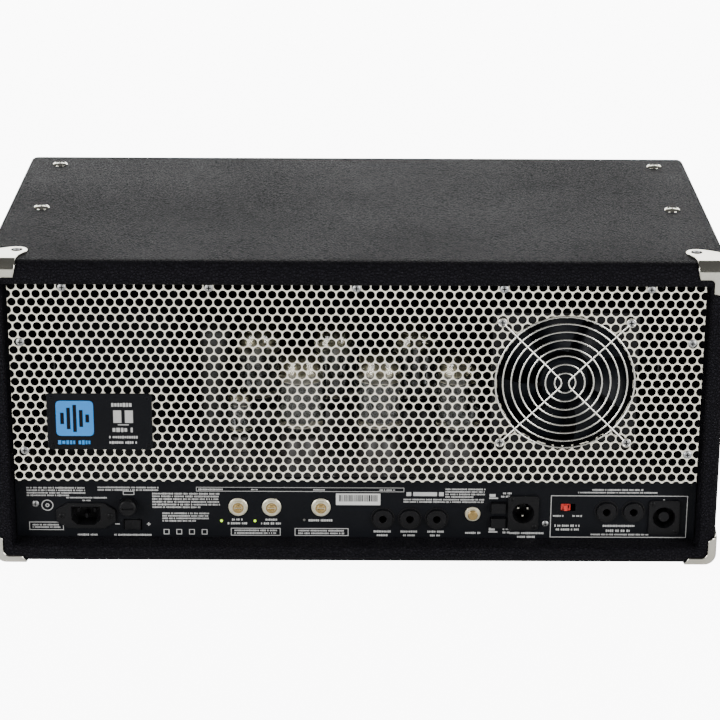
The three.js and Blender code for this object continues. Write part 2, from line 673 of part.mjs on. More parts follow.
function addFront() {
  const face = FRONT_PANEL_FACE;
  const low = face;
  const high = face + PANEL_THICKNESS;
  const sheet = block([1 - INNER_HALF, INNER_HALF - 1], [low, high], [PANEL_BOTTOM, PANEL_TOP]);
  const holes = [
    ...panelHoles(KNOB_X.map((x) => ({ x, z: FRONT_Z, radius: 3.6 })), low, high),
    ...panelHoles(INPUT_JACK_X.map((x) => ({ x, z: FRONT_Z, radius: 5.3 })), low, high),
    ...ROCKERS.map(({ x }) => slot(x, FRONT_Z, ROCKER.width + 1.2, ROCKER.height + 3.4, low, high)),
  ];
  add('front_panel', cut(sheet, ...holes), FINISH.brushed);

  const baffle = rectangle(0.5 - INNER_HALF, INNER_HALF - 0.5, PANEL_TOP + 0.5, CEILING - GAP, 2);
  add('front_baffle', prism(baffle, 'y', FRONT + 6, FRONT + 18), FINISH.cloth);

  const knobProfile = [
    [0, face - 17], [10, face - 17], [11.2, face - 4], [13.5, face - 4],
    [13.5, face - 1.5], [3, face - 1.5], [3, face + 12], [0, face + 12],
  ];
  KNOB_X.forEach((x, index) => {
    const pointer = block([x - 0.9, x + 0.9], [face - 17.6, face - 2], [FRONT_Z + 3, FRONT_Z + 13.4]);
    add(`knob_${index + 1}`, join(turned(knobProfile, x, FRONT_Z), pointer), FINISH.blackPlastic);
  });
  INPUT_JACK_X.forEach((x, index) => {
    add(`input_jack_${index + 1}`, jack(x, FRONT_Z, face, -1), FINISH.nickel);
  });

  // Each rocker stands tipped to one side at rest, the way a two-position rocker does.
  const half = ROCKER.height / 2;
  const outline = outlineOf([[-4.5, -half], [-2, 0], [-4.5, half], [1, half], [6, 7], [6, -7], [1, -half]]);
  for (const { name, x } of ROCKERS) {
    const key = prism(outline, 'x', -ROCKER.width / 2, ROCKER.width / 2);
    key.rotateX(THREE.MathUtils.degToRad(ROCKER.tilt)).translate(x, face + 1, FRONT_Z);
    add(name, key, FINISH.blackPlastic);
  }
}

addCabinet();
addCornerCaps();
addFeet();
addHandles();
addGrille();
addFan();
addRearPanel();
addChassis();
addIron();
addValves();
addRearFittings();
addFront();

export default amplifier;
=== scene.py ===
# Looks for a valve guitar amplifier head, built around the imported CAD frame.
# Metres, +Z up, front facing -Y, rear facing +Y. Sizes written in millimetres go through MM.

import json
import logging
import math
from dataclasses import dataclass
from enum import Enum

import bmesh
import bpy
import numpy as np
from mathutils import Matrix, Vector


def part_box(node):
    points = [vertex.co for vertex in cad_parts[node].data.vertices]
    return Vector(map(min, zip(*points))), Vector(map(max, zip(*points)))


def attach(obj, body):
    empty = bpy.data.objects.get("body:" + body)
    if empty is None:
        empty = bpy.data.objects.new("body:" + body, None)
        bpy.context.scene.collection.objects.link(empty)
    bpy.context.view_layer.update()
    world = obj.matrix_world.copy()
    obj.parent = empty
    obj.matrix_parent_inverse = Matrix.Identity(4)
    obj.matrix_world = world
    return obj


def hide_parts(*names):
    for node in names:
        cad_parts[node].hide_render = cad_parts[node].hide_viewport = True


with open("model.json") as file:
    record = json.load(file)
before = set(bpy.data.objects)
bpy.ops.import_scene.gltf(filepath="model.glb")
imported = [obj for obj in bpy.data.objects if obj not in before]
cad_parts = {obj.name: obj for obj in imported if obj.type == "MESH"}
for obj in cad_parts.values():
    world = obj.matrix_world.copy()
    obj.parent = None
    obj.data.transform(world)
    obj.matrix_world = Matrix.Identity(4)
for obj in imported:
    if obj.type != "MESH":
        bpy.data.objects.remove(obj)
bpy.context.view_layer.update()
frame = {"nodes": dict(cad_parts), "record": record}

LOG = logging.getLogger("amplifier")
MM = 0.001
CABINET = "cabinet"
Array = np.ndarray


class Axis(Enum):
    """A direction that a piece is turned about or carried along."""

    X = 0
    Y = 1
    Z = 2


# The two coordinates across each axis and the one along it.
ACROSS = {Axis.X: (1, 2, 0), Axis.Y: (0, 2, 1), Axis.Z: (0, 1, 2)}
RING_SIDES = 8

# ---- surfaces -----------------------------------------------------------------------------


@dataclass
class Surface:
    """Points and faces of one or more closed shells, in metres.

    Each entry of faces is an (m, k) array of k-sided faces and the finish they take.
    """

    points: Array
    faces: list[tuple[Array, int]]


def joined(parts: list[Surface]) -> Surface:
    """Several surfaces as one, with the face numbers carried on.

    Args:
        parts: the surfaces.

    Returns:
        One surface that holds all their shells.
    """
    starts = np.cumsum([0] + [len(part.points) for part in parts])
    faces = [
        (rows + start, finish)
        for part, start in zip(parts, starts)
        for rows, finish in part.faces
    ]
    return Surface(np.concatenate([part.points for part in parts]), faces)


def grid_faces(rows: int, columns: int, wrap_rows: bool, wrap_columns: bool) -> Array:
    """Quads between the points of a rows by columns grid, closed on itself where it wraps."""
    r = np.arange(rows if wrap_rows else rows - 1)
    c = np.arange(columns if wrap_columns else columns - 1)
    r0, c0 = np.meshgrid(r, c, indexing="ij")
    r1, c1 = (r0 + 1) % rows, (c0 + 1) % columns
    quads = np.stack([r0 * columns + c0, r0 * columns + c1, r1 * columns + c1, r1 * columns + c0], -1)
    return quads.reshape(-1, 4)


def placed(u: Array, v: Array, w: Array, axis: Axis) -> Array:
    """Points whose w runs along an axis and whose u and v lie across it, in the order X, Y, Z.

    Args:
        u: first coordinate across the axis.
        v: second coordinate across the axis.
        w: coordinate along the axis.
        axis: the axis.

    Returns:
        An (..., 3) array.
    """
    order = {Axis.X: (w, u, v), Axis.Y: (u, w, v), Axis.Z: (u, v, w)}[axis]
    return np.stack(np.broadcast_arrays(*order), -1)


def rounded(points: Array, radius: float, closed: bool, steps: int = 4) -> Array:
    """A polyline with its corners rounded: each corner B becomes the curve
    (1-t)^2 A + 2t(1-t) B + t^2 C, where A and C lie a radius away from B on its two sides,
    or at most 48% of the side away.

    Args:
        points: (n, 2) corners.
        radius: how far from the corner the rounding starts.
        closed: whether the line closes on itself, so that its ends are corners too.
        steps: pieces in each rounding.

    Returns:
        The (m, 2) points of the rounded line.
    """
    points = np.asarray(points, float)
    before, after = np.roll(points, 1, 0) - points, np.roll(points, -1, 0) - points
    lengths = [np.linalg.norm(side, axis=1, keepdims=True) + 1e-12 for side in (before, after)]
    a = points + before * np.minimum(radius / lengths[0], 0.48)
    c = points + after * np.minimum(radius / lengths[1], 0.48)
    t = np.linspace(0, 1, steps + 1)[None, :, None]
    curves = (1 - t) ** 2 * a[:, None] + 2 * t * (1 - t) * points[:, None] + t**2 * c[:, None]
    if closed:
        return curves.reshape(-1, 2)
    return np.concatenate([points[:1], curves[1:-1].reshape(-1, 2), points[-1:]])


def box_outline(u: tuple[float, float], v: tuple[float, float], radius: float = 0.0) -> Array:
    """The outline of a rectangle, with its corners rounded where a radius is given."""
    corners = np.array([[u[0], v[0]], [u[1], v[0]], [u[1], v[1]], [u[0], v[1]]])
    return rounded(corners, radius, closed=True) if radius > 0 else corners


def circle_outline(u: float, v: float, radius: float, sides: int = 32) -> Array:
    """The outline of a circle as a polygon."""
    angle = np.linspace(0, 2 * np.pi, sides, endpoint=False)
    return np.stack([u + radius * np.cos(angle), v + radius * np.sin(angle)], 1)


def revolve(
    profile: Array, centre: tuple[float, float], axis: Axis, steps: int = 40,
    finish: int = 0, closed: bool = False,
) -> Surface:
    """A turned surface: the point at profile step i and angle a lies the profile's radius away
    from the axis, at that angle, and at the profile's height along it.

    Args:
        profile: (n, 2) radius and height pairs; an open profile starts and ends on the axis.
        centre: where the axis stands in the plane across it.
        axis: the direction of the axis.
        steps: pieces round the turn.
        finish: the finish of its faces.
        closed: whether the profile closes on itself, as a ring's does.

    Returns:
        The turned surface.
    """
    profile = np.asarray(profile, float)
    angle = np.linspace(0, 2 * np.pi, steps, endpoint=False)
    radius, height = profile[:, :1], profile[:, 1:]
    u = centre[0] + radius * np.cos(angle)[None]
    v = centre[1] + radius * np.sin(angle)[None]
    points = placed(u, v, np.broadcast_to(height, u.shape), axis)
    return Surface(points.reshape(-1, 3), [(grid_faces(len(profile), steps, closed, True), finish)])


def extrude(outline: Array, axis: Axis, low: float, high: float, finish: int = 0) -> Surface:
    """A prism: the outline at two heights along the axis, with walls between and a face on each.

    Args:
        outline: (n, 2) points across the axis.
        axis: the direction it is carried along.
        low: where it starts.
        high: where it ends.
        finish: the finish of its faces.

    Returns:
        The closed prism.
    """
    outline = np.asarray(outline, float)
    count = len(outline)
    u = np.tile(outline[:, 0], 2)
    v = np.tile(outline[:, 1], 2)
    w = np.repeat([low, high], count)
    ends = np.stack([np.arange(count)[::-1], np.arange(count, 2 * count)])
    return Surface(placed(u, v, w, axis), [(grid_faces(2, count, False, True), finish), (ends, finish)])


def sweep(path: Array, radius: float, sides: int = 10, closed: bool = False, finish: int = 0) -> Surface:
    """A round wire along a path: at each path point a circle stands square to the path, and its
    first direction is the one across the path that leans least towards the steepest axis.

    Args:
        path: (n, 3) points.
        radius: the wire's radius.
        sides: sides of the wire.
        closed: whether the path closes on itself.
        finish: the finish of its faces.

    Returns:
        The closed wire.
    """
    path = np.asarray(path, float)
    if closed:
        along = np.roll(path, -1, 0) - np.roll(path, 1, 0)
    else:
        along = np.gradient(path, axis=0)
    along /= np.linalg.norm(along, axis=1, keepdims=True)
    least = np.eye(3)[np.argmin(np.abs(along).max(0))]
    first = np.cross(along, least)
    first /= np.linalg.norm(first, axis=1, keepdims=True)
    second = np.cross(along, first)
    angle = np.linspace(0, 2 * np.pi, sides, endpoint=False)
    ring = first[:, None] * np.cos(angle)[None, :, None] + second[:, None] * np.sin(angle)[None, :, None]
    points = (path[:, None] + radius * ring).reshape(-1, 3)
    faces = [(grid_faces(len(path), sides, closed, True), finish)]
    if not closed:
        last = (len(path) - 1) * sides
        faces.append((np.stack([np.arange(sides)[::-1], last + np.arange(sides)]), finish))
    return Surface(points, faces)


def ring(radius: float, wire: float, centre: Array, axis: Axis, steps: int) -> Surface:
    """A wire ring: a circle of the wire's radius turned about the axis at the ring's radius."""
    u, v, w = (centre[index] for index in ACROSS[axis])
    return revolve(circle_outline(radius, w, wire, RING_SIDES), (u, v), axis, steps, closed=True)


# ---- finishes -----------------------------------------------------------------------------


class NodeTree:
    """Short calls for adding and linking nodes in a material or a group."""

    def __init__(self, tree: bpy.types.NodeTree) -> None:
        """Keeps the tree that nodes go into."""
        self.tree = tree

    def add(self, kind: str, inputs: dict | None = None, **settings) -> bpy.types.Node:
        """Adds a node, sets its properties, and sets or links its inputs.

        Args:
            kind: the node's type.
            inputs: socket name or number to a value, or to the socket that feeds it.
            **settings: properties of the node.

        Returns:
            The node.
        """
        node = self.tree.nodes.new(kind)
        for key, value in settings.items():
            setattr(node, key, value)
        for key, value in (inputs or {}).items():
            if isinstance(value, bpy.types.NodeSocket):
                self.tree.links.new(value, node.inputs[key])
            else:
                node.inputs[key].default_value = value
        return node

    def math(self, operation: str, *values, clamp: bool = False) -> bpy.types.NodeSocket:
        """The output of a Math node on the given numbers or sockets."""
        node = self.add("ShaderNodeMath", dict(enumerate(values)), operation=operation, use_clamp=clamp)
        return node.outputs[0]

    def vector(self, operation: str, a, b) -> bpy.types.Node:
        """A Vector Math node on two vectors or sockets."""
        return self.add("ShaderNodeVectorMath", {0: a, 1: b}, operation=operation)

    def noise(self, place, scale, detail: float) -> bpy.types.Node:
        """A Noise node at a place, with so many lumps to a metre."""
        return self.add("ShaderNodeTexNoise", {"Vector": place, "Scale": scale, "Detail": detail})

    def mix(self, factor, a, b) -> bpy.types.NodeSocket:
        """The colour between a and b at a factor."""
        node = self.add("ShaderNodeMix", {0: factor, 6: a, 7: b}, data_type="RGBA")
        return node.outputs[2]

    def ramp(self, value, low: float, high: float) -> bpy.types.NodeSocket:
        """A value taken from low..high to 0..1 and held at the ends."""
        node = self.add("ShaderNodeMapRange", {0: value, 1: low, 2: high, 3: 0.0, 4: 1.0})
        return node.outputs[0]

    def coordinates(self, scale: tuple[float, float, float] = (1, 1, 1)) -> bpy.types.NodeSocket:
        """Object coordinates in metres through a Mapping node."""
        source = self.add("ShaderNodeTexCoord")
        mapping = self.add("ShaderNodeMapping", {0: source.outputs["Object"], 3: scale})
        return mapping.outputs[0]


_groups: dict[str, bpy.types.NodeTree] = {}


def shader_group(
    name: str, inputs: dict[str, tuple[str, float]], outputs: dict[str, str],
) -> tuple[NodeTree, bpy.types.Node, bpy.types.Node]:
    """An empty shader group with named sockets.

    Args:
        name: the group's name.
        inputs: input name to its kind and first value.
        outputs: output name to its kind.

    Returns:
        The tree, its input node and its output node.
    """
    tree = bpy.data.node_groups.new(name, "ShaderNodeTree")
    for socket, (kind, value) in inputs.items():
        made = tree.interface.new_socket(name=socket, in_out="INPUT", socket_type=f"NodeSocket{kind}")
        if kind == "Float":
            made.default_value = value
    for socket, kind in outputs.items():
        tree.interface.new_socket(name=socket, in_out="OUTPUT", socket_type=f"NodeSocket{kind}")
    _groups[name] = tree
    return NodeTree(tree), tree.nodes.new("NodeGroupInput"), tree.nodes.new("NodeGroupOutput")


def leather_grain_group() -> None:
    """Pebbled grain: cell edges of a warped cell pattern sink, cell middles stand, and a finer
    crinkle rides on them. Gives a height and a mask of the sunk lines, which the finish also
    uses to paint shade into the creases."""
    tree, into, out = shader_group(
        "leather_grain", {"Vector": ("Vector", 0), "Cells": ("Float", 700.0)},
        {"Height": "Float", "Lines": "Float"},
    )
    place = into.outputs["Vector"]
    noise = tree.noise(place, 260.0, 2.0)
    reach = (1.6 * MM, 1.6 * MM, 1.6 * MM)
    shift = tree.vector("MULTIPLY", noise.outputs["Color"], reach)
    warped = tree.vector("ADD", place, shift.outputs[0])
    cells = tree.add(
        "ShaderNodeTexVoronoi", {"Vector": warped.outputs[0], "Scale": into.outputs["Cells"]},
        feature="DISTANCE_TO_EDGE",
    )
    lines = tree.ramp(cells.outputs["Distance"], 0.22, 0.0)
    crinkle = tree.noise(place, 2400.0, 3.0)
    raised = tree.math("SUBTRACT", tree.math("MULTIPLY", crinkle.outputs[0], 0.35), lines)
    tree.tree.links.new(raised, out.inputs["Height"])
    tree.tree.links.new(lines, out.inputs["Lines"])


def edge_wear_group() -> None:
    """Wear on sharp edges: where a rounded normal leaves the true one, broken up by noise."""
    tree, into, out = shader_group(
        "edge_wear", {"Reach": ("Float", 1.2 * MM), "Amount": ("Float", 0.5)}, {"Mask": "Float"},
    )
    soft = tree.add("ShaderNodeBevel", {"Radius": into.outputs["Reach"]}, samples=4)
    true = tree.add("ShaderNodeNewGeometry")
    dot = tree.vector("DOT_PRODUCT", soft.outputs[0], true.outputs["Normal"])
    sharp = tree.ramp(tree.math("SUBTRACT", 1.0, dot.outputs["Value"]), 0.02, 0.22)
    place = tree.coordinates()
    noise = tree.noise(place, 210.0, 5.0)
    broken = tree.ramp(noise.outputs[0], 0.42, 0.62)
    mask = tree.math("MULTIPLY", tree.math("MULTIPLY", sharp, broken), into.outputs["Amount"], clamp=True)
    tree.tree.links.new(mask, out.inputs["Mask"])


def patches_group() -> None:
    """Soft uneven patches, as handling and dust leave them: two noises multiplied."""
    tree, into, out = shader_group("patches", {"Scale": ("Float", 18.0)}, {"Mask": "Float"})
    place = tree.coordinates()
    wide = tree.noise(place, into.outputs["Scale"], 3.0)
    fine = tree.noise(place, 900.0, 2.0)
    both = tree.math("ADD", wide.outputs[0], tree.math("MULTIPLY", fine.outputs[0], 0.25))
    tree.tree.links.new(tree.ramp(both, 0.45, 0.8), out.inputs["Mask"])


def brushed_group() -> None:
    """Fine straight lines, as a brushing belt leaves them: noise drawn out along X."""
    tree, into, out = shader_group("brushed", {"Stretch": ("Float", 60.0)}, {"Height": "Float"})
    source = tree.add("ShaderNodeTexCoord")
    squeeze = tree.math("DIVIDE", 1.0, into.outputs["Stretch"])
    scale = tree.add("ShaderNodeCombineXYZ", {0: squeeze, 1: 1.0, 2: 1.0})
    drawn = tree.vector("MULTIPLY", source.outputs["Object"], scale.outputs[0])
    noise = tree.noise(drawn.outputs[0], 3200.0, 3.0)
    tree.tree.links.new(noise.outputs[0], out.inputs["Height"])


Colour = tuple[float, float, float]


@dataclass(frozen=True)
class ClearGlass:
    """Clear blown glass, a little uneven and lightly dusted."""

    name: str = "clear_glass"
    roughness: float = 0.02
    index: float = 1.47
    clear: Colour = (0.96, 0.97, 0.96)
    dusty: Colour = (0.90, 0.90, 0.88)

    def material(self) -> bpy.types.Material:
        """Builds the glass once and gives the same material after that."""
        found = bpy.data.materials.get(self.name)
        if found:
            return found
        material = bpy.data.materials.new(self.name)
        material.use_nodes = True
        material.node_tree.nodes.clear()
        tree = NodeTree(material.node_tree)
        shader = tree.add(
            "ShaderNodeBsdfPrincipled", {"Transmission Weight": 1.0, "IOR": self.index, "Metallic": 0.0},
        )
        dust = tree.add("ShaderNodeGroup", {"Scale": 25.0}, node_tree=_groups["patches"]).outputs[0]
        rough = tree.math("ADD", tree.math("MULTIPLY", dust, 0.05), self.roughness)
        tint = tree.mix(dust, (*self.clear, 1), (*self.dusty, 1))
        tree.tree.links.new(rough, shader.inputs["Roughness"])
        tree.tree.links.new(tint, shader.inputs["Base Color"])
        out = tree.add("ShaderNodeOutputMaterial")
        tree.tree.links.new(shader.outputs[0], out.inputs[0])
        return material


class Texture(Enum):
    """The fine relief of a finish."""

    NONE = "none"
    LEATHER = "leather"
    PAINT = "paint"
    MOULDED = "moulded"
    BRUSHED = "brushed"


@dataclass(frozen=True)
class Finish:
    """One surface finish: its colours, gloss, relief and wear."""

    name: str
    colour: Colour
    roughness: float
    metallic: float = 0.0
    second: Colour | None = None
    texture: Texture = Texture.NONE
    relief: float = 0.1
    cells: float = 700.0
    wear: float = 0.0
    wear_colour: Colour = (0.5, 0.5, 0.5)
    coat: float = 0.0
    patch_scale: float = 18.0
    glow: float = 0.0
    specular: float = 0.5

    def material(self) -> bpy.types.Material:
        """Builds the finish once and gives the same material after that."""
        found = bpy.data.materials.get(self.name)
        if found:
            return found
        material = bpy.data.materials.new(self.name)
        material.use_nodes = True
        material.node_tree.nodes.clear()
        tree = NodeTree(material.node_tree)
        shader = tree.add(
            "ShaderNodeBsdfPrincipled", {"Metallic": self.metallic, "Specular IOR Level": self.specular},
        )
        if self.coat:
            shader.inputs["Coat Weight"].default_value = self.coat
            shader.inputs["Coat Roughness"].default_value = 0.12
        out = tree.add("ShaderNodeOutputMaterial")
        tree.tree.links.new(shader.outputs[0], out.inputs[0])
        patches = self._group(tree, "patches", {"Scale": self.patch_scale}).outputs["Mask"]
        second = self.second or tuple(c * 0.72 for c in self.colour)
        colour = tree.mix(patches, (*self.colour, 1), (*second, 1))
        rough = tree.math("ADD", tree.math("MULTIPLY", patches, 0.07), self.roughness)
        height = self._height(tree)
        if self.texture is Texture.LEATHER:
            lines = height.node.outputs["Lines"]
            # Darkens the grain's sunk lines: painted shade in the creases.
            grain_crease_shade = tuple(c * 0.45 for c in self.colour)
            colour = tree.mix(tree.math("MULTIPLY", lines, 0.7), colour, (*grain_crease_shade, 1))
            rough = tree.math("ADD", rough, tree.math("MULTIPLY", lines, 0.2))
        if self.wear > 0:
            worn = self._group(tree, "edge_wear", {"Amount": self.wear}).outputs["Mask"]
            colour = tree.mix(worn, colour, (*self.wear_colour, 1))
        if height is not None:
            inputs = {"Height": height, "Distance": self.relief * MM, "Strength": 1.0}
            bump = tree.add("ShaderNodeBump", inputs)
            tree.tree.links.new(bump.outputs[0], shader.inputs["Normal"])
        tree.tree.links.new(colour, shader.inputs["Base Color"])
        tree.tree.links.new(tree.math("MULTIPLY", rough, 1.0, clamp=True), shader.inputs["Roughness"])
        if self.glow:
            tree.tree.links.new(colour, shader.inputs["Emission Color"])
            shader.inputs["Emission Strength"].default_value = self.glow
        return material

    @staticmethod
    def _group(tree: NodeTree, name: str, values: dict) -> bpy.types.Node:
        """Places a shared group with its own values."""
        node = tree.add("ShaderNodeGroup", node_tree=_groups[name])
        for key, value in values.items():
            node.inputs[key].default_value = value
        return node

    def _height(self, tree: NodeTree) -> bpy.types.NodeSocket | None:
        """The relief of the finish as a height socket, or None where it is smooth."""
        if self.texture is Texture.LEATHER:
            grain = self._group(tree, "leather_grain", {"Cells": self.cells})
            tree.tree.links.new(tree.coordinates(), grain.inputs["Vector"])
            return grain.outputs["Height"]
        if self.texture is Texture.BRUSHED:
            return self._group(tree, "brushed", {}).outputs["Height"]
        if self.texture in (Texture.PAINT, Texture.MOULDED):
            scale = 520.0 if self.texture is Texture.PAINT else 1800.0
            return tree.noise(tree.coordinates(), scale, 3.0).outputs[0]
        return None


VINYL = Finish(
    "black_vinyl", (0.0075, 0.0070, 0.0098), 0.50, second=(0.0068, 0.0064, 0.0090), texture=Texture.LEATHER,
    relief=2.4, cells=400.0, patch_scale=9.0, specular=0.07,
)
NICKEL = Finish(
    "bright_nickel", (0.76, 0.74, 0.66), 0.10, 1.0, second=(0.60, 0.58, 0.49),
    texture=Texture.PAINT, relief=0.012,
)
GRILLE = Finish(
    "cream_enamel", (0.74, 0.71, 0.61), 0.40, second=(0.66, 0.63, 0.53), texture=Texture.PAINT,
    relief=0.02, specular=0.3,
)
BLACK_PAINT = Finish(
    "black_paint", (0.0042, 0.0047, 0.0062), 0.45, texture=Texture.PAINT, relief=0.02,
    wear=0.15, wear_colour=(0.04, 0.04, 0.04), specular=0.09,
)
BLACK_PLASTIC = Finish(
    "moulded_black", (0.0050, 0.0050, 0.0056), 0.36, texture=Texture.MOULDED, relief=0.01, specular=0.16,
)
ZINC = Finish(
    "zinc_plate", (0.42, 0.43, 0.44), 0.36, 1.0, second=(0.34, 0.34, 0.33),
    texture=Texture.PAINT, relief=0.02,
)
BRASS = Finish("turned_brass", (0.55, 0.38, 0.15), 0.25, 1.0, texture=Texture.MOULDED, relief=0.01)
RUBBER = Finish(
    "matt_rubber", (0.010, 0.010, 0.010), 0.75, texture=Texture.MOULDED, relief=0.04, specular=0.2,
)
RED = Finish("red_slide", (0.55, 0.03, 0.02), 0.35, texture=Texture.MOULDED, relief=0.01)
ALUMINIUM = Finish("satin_aluminium", (0.66, 0.67, 0.68), 0.30, 1.0, texture=Texture.BRUSHED, relief=0.02)
CLOTH = Finish(
    "woven_cloth", (0.026, 0.026, 0.029), 0.85, second=(0.022, 0.022, 0.025), texture=Texture.MOULDED,
    relief=0.15, specular=0.2,
)
BOARD = Finish("green_board", (0.03, 0.10, 0.04), 0.4, texture=Texture.MOULDED, relief=0.02, coat=0.4)
GLASS = ClearGlass()

WIRE = Finish(
    "plated_wire", (0.80, 0.79, 0.74), 0.22, 1.0, second=(0.70, 0.69, 0.63),
    texture=Texture.PAINT, relief=0.01,
)
# Near-black colour for screw crosses and cap-screw seats: painted shade of the recesses, not the metal's own
# colour.
PAINTED_RECESS_SHADE = Finish(
    "painted_screw_recess_shade", (0.004, 0.004, 0.004), 0.6, texture=Texture.MOULDED, relief=0.01, specular=0.05,
)
STRAP = Finish(
    "ribbed_strap", (0.010, 0.010, 0.011), 0.5, texture=Texture.LEATHER,
    relief=0.1, cells=900.0, specular=0.2,
)
CREAM_METAL = Finish(
    "cream_plated_nut", (0.72, 0.68, 0.54), 0.30, 0.7, second=(0.58, 0.53, 0.38),
    texture=Texture.PAINT, relief=0.01,
)
PRINT = Finish(
    "panel_ink", (0.46, 0.46, 0.45), 0.6, texture=Texture.MOULDED, relief=0.01, specular=0.2,
)
PAPER = Finish(
    "paper_label", (0.60, 0.60, 0.58), 0.7, texture=Texture.MOULDED, relief=0.01, specular=0.2,
)
BLUE = Finish(
    "blue_enamel", (0.015, 0.20, 0.55), 0.35, second=(0.012, 0.17, 0.49),
    texture=Texture.PAINT, relief=0.01,
)
BLADE = Finish(
    "blade_plastic", (0.003, 0.004, 0.006), 0.36, texture=Texture.MOULDED, relief=0.01, specular=0.1,
)
BASE = Finish("valve_base", (0.03, 0.027, 0.025), 0.4, texture=Texture.MOULDED, relief=0.01)
PLATE = Finish("anode_plate", (0.09, 0.09, 0.085), 0.5, 0.5, texture=Texture.PAINT, relief=0.03)
GETTER = Finish("getter_film", (0.30, 0.27, 0.19), 0.42, 1.0, texture=Texture.MOULDED, relief=0.01)
MICA = Finish("mica_spacer", (0.55, 0.50, 0.40), 0.3, texture=Texture.MOULDED, relief=0.01)
LIT_LAMP = Finish(
    "lit_green_lamp", (0.55, 0.95, 0.04), 0.25, texture=Texture.MOULDED, relief=0.01, glow=1.4,
)
DARK_LAMP = Finish("unlit_lamp", (0.10, 0.10, 0.09), 0.25, texture=Texture.MOULDED, relief=0.01)
JEWEL = Finish("red_jewel", (0.50, 0.01, 0.01), 0.06, texture=Texture.MOULDED, relief=0.002, coat=0.8)
WELT = Finish("pale_welt", (0.55, 0.54, 0.50), 0.55, texture=Texture.MOULDED, relief=0.03)

SLOT_FINISH = {
    "vinyl_covering": VINYL, "nickel_plate": NICKEL, "rubber": RUBBER, "strap": RUBBER,
    "grille_enamel": GRILLE, "black_metal": BLACK_PAINT, "black_plastic": BLACK_PLASTIC,
    "zinc_steel": ZINC, "circuit_board": BOARD, "valve_glass": GLASS, "brass": BRASS,
    "red_plastic": RED, "brushed_aluminium": ALUMINIUM, "grille_cloth": CLOTH,
}


# ---- pieces -------------------------------------------------------------------------------


def clean(mesh: bpy.types.Mesh, flatten: bool = False) -> None:
    """Merges doubled points, drops faces with no area and turns every face outwards.

    Args:
        mesh: the mesh to clean.
        flatten: whether triangles that lie in one plane are joined, as a bevel needs.
    """
    work = bmesh.new()
    work.from_mesh(mesh)
    bmesh.ops.remove_doubles(work, verts=work.verts, dist=1e-6 if flatten else 1e-7)
    bmesh.ops.dissolve_degenerate(work, dist=1e-7, edges=work.edges)
    if flatten:
        bmesh.ops.dissolve_limit(work, angle_limit=math.radians(1), verts=work.verts, edges=work.edges)
    bmesh.ops.recalc_face_normals(work, faces=work.faces)
    work.to_mesh(mesh)
    work.free()
    mesh.update()


def register(
    mesh: bpy.types.Mesh, finishes: list[Finish], body: str,
    replaces: tuple[str, ...] = (), bevel: float = 0.0, sharp: float = 32.0,
) -> bpy.types.Object:
    """Makes a mesh a piece: finished, smooth between its sharp edges, and riding on a body.

    Args:
        mesh: the mesh, whose name the piece takes.
        finishes: the finishes that its faces number.
        body: the CAD body it moves with.
        replaces: CAD nodes it stands for.
        bevel: width of the bevel on its edges, in metres, or 0.
        sharp: edges that turn more than this many degrees stay sharp.

    Returns:
        The object.
    """
    for finish in finishes:
        mesh.materials.append(finish.material())
    mesh.polygons.foreach_set("use_smooth", np.ones(len(mesh.polygons), bool))
    mesh.set_sharp_from_angle(angle=math.radians(sharp))
    piece = bpy.data.objects.new(mesh.name, mesh)
    bpy.context.scene.collection.objects.link(piece)
    if bevel > 0:
        modifier = piece.modifiers.new("bevel", "BEVEL")
        modifier.width = bevel
        modifier.segments = 2
        modifier.limit_method = "ANGLE"
        modifier.angle_limit = math.radians(40)
        modifier.harden_normals = True
    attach(piece, body)
    if replaces:
        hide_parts(*replaces)
    LOG.info("%s: %d faces on %s", piece.name, len(mesh.polygons), body)
    return piece


def make_piece(
    name: str, surface: Surface, finishes: list[Finish], body: str = CABINET,
    replaces: tuple[str, ...] = (), bevel: float = 0.0, sharp: float = 32.0,
) -> bpy.types.Object:
    """Turns a surface into a piece; the arguments are those of register.

    Args:
        name: the piece's name.
        surface: its shells, in metres in the row frame.

    Returns:
        The object.
    """
    mesh = bpy.data.meshes.new(name)
    faces = [row for rows, _ in surface.faces for row in rows.tolist()]
    mesh.from_pydata(surface.points.tolist(), [], faces)
    indices = np.concatenate([np.full(len(rows), finish) for rows, finish in surface.faces])
    mesh.polygons.foreach_set("material_index", indices.astype(np.int32))
    clean(mesh)
    return register(mesh, finishes, body, replaces, bevel, sharp)


def body_of(node: str) -> str:
    """The body that a CAD node belongs to."""
    bodies = frame["record"]["behaviour"]["bodies"]
    return next(body for body, members in bodies.items() if node in members)


def slot_of(node: str) -> str:
    """The material slot of a CAD node."""
    return next(part["material_slot"] for part in frame["record"]["subparts"] if part["node"] == node)


def eased_copy(node: str, finish: Finish, bevel: float, name: str = "") -> bpy.types.Object:
    """A copy of a CAD node with its points merged and its edges eased, which stands for it.

    Args:
        node: the CAD node.
        finish: its finish.
        bevel: width of the eased edges, in metres.
        name: the piece's name, or the node's with "_eased" after it.

    Returns:
        The piece.
    """
    mesh = frame["nodes"][node].data.copy()
    mesh.name = name or f"{node}_eased"
    mesh.materials.clear()
    clean(mesh, flatten=True)
    mesh.polygons.foreach_set("material_index", np.zeros(len(mesh.polygons), np.int32))
    return register(mesh, [finish], body_of(node), (node,), bevel)


def extent(node: str) -> tuple[Array, Array]:
    """The lowest and highest corners of a CAD node as arrays, in metres."""
    low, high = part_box(node)
    return np.array(low), np.array(high)


def middle(node: str) -> Array:
    """The centre of a CAD node's box."""
    low, high = extent(node)
    return (low + high) / 2


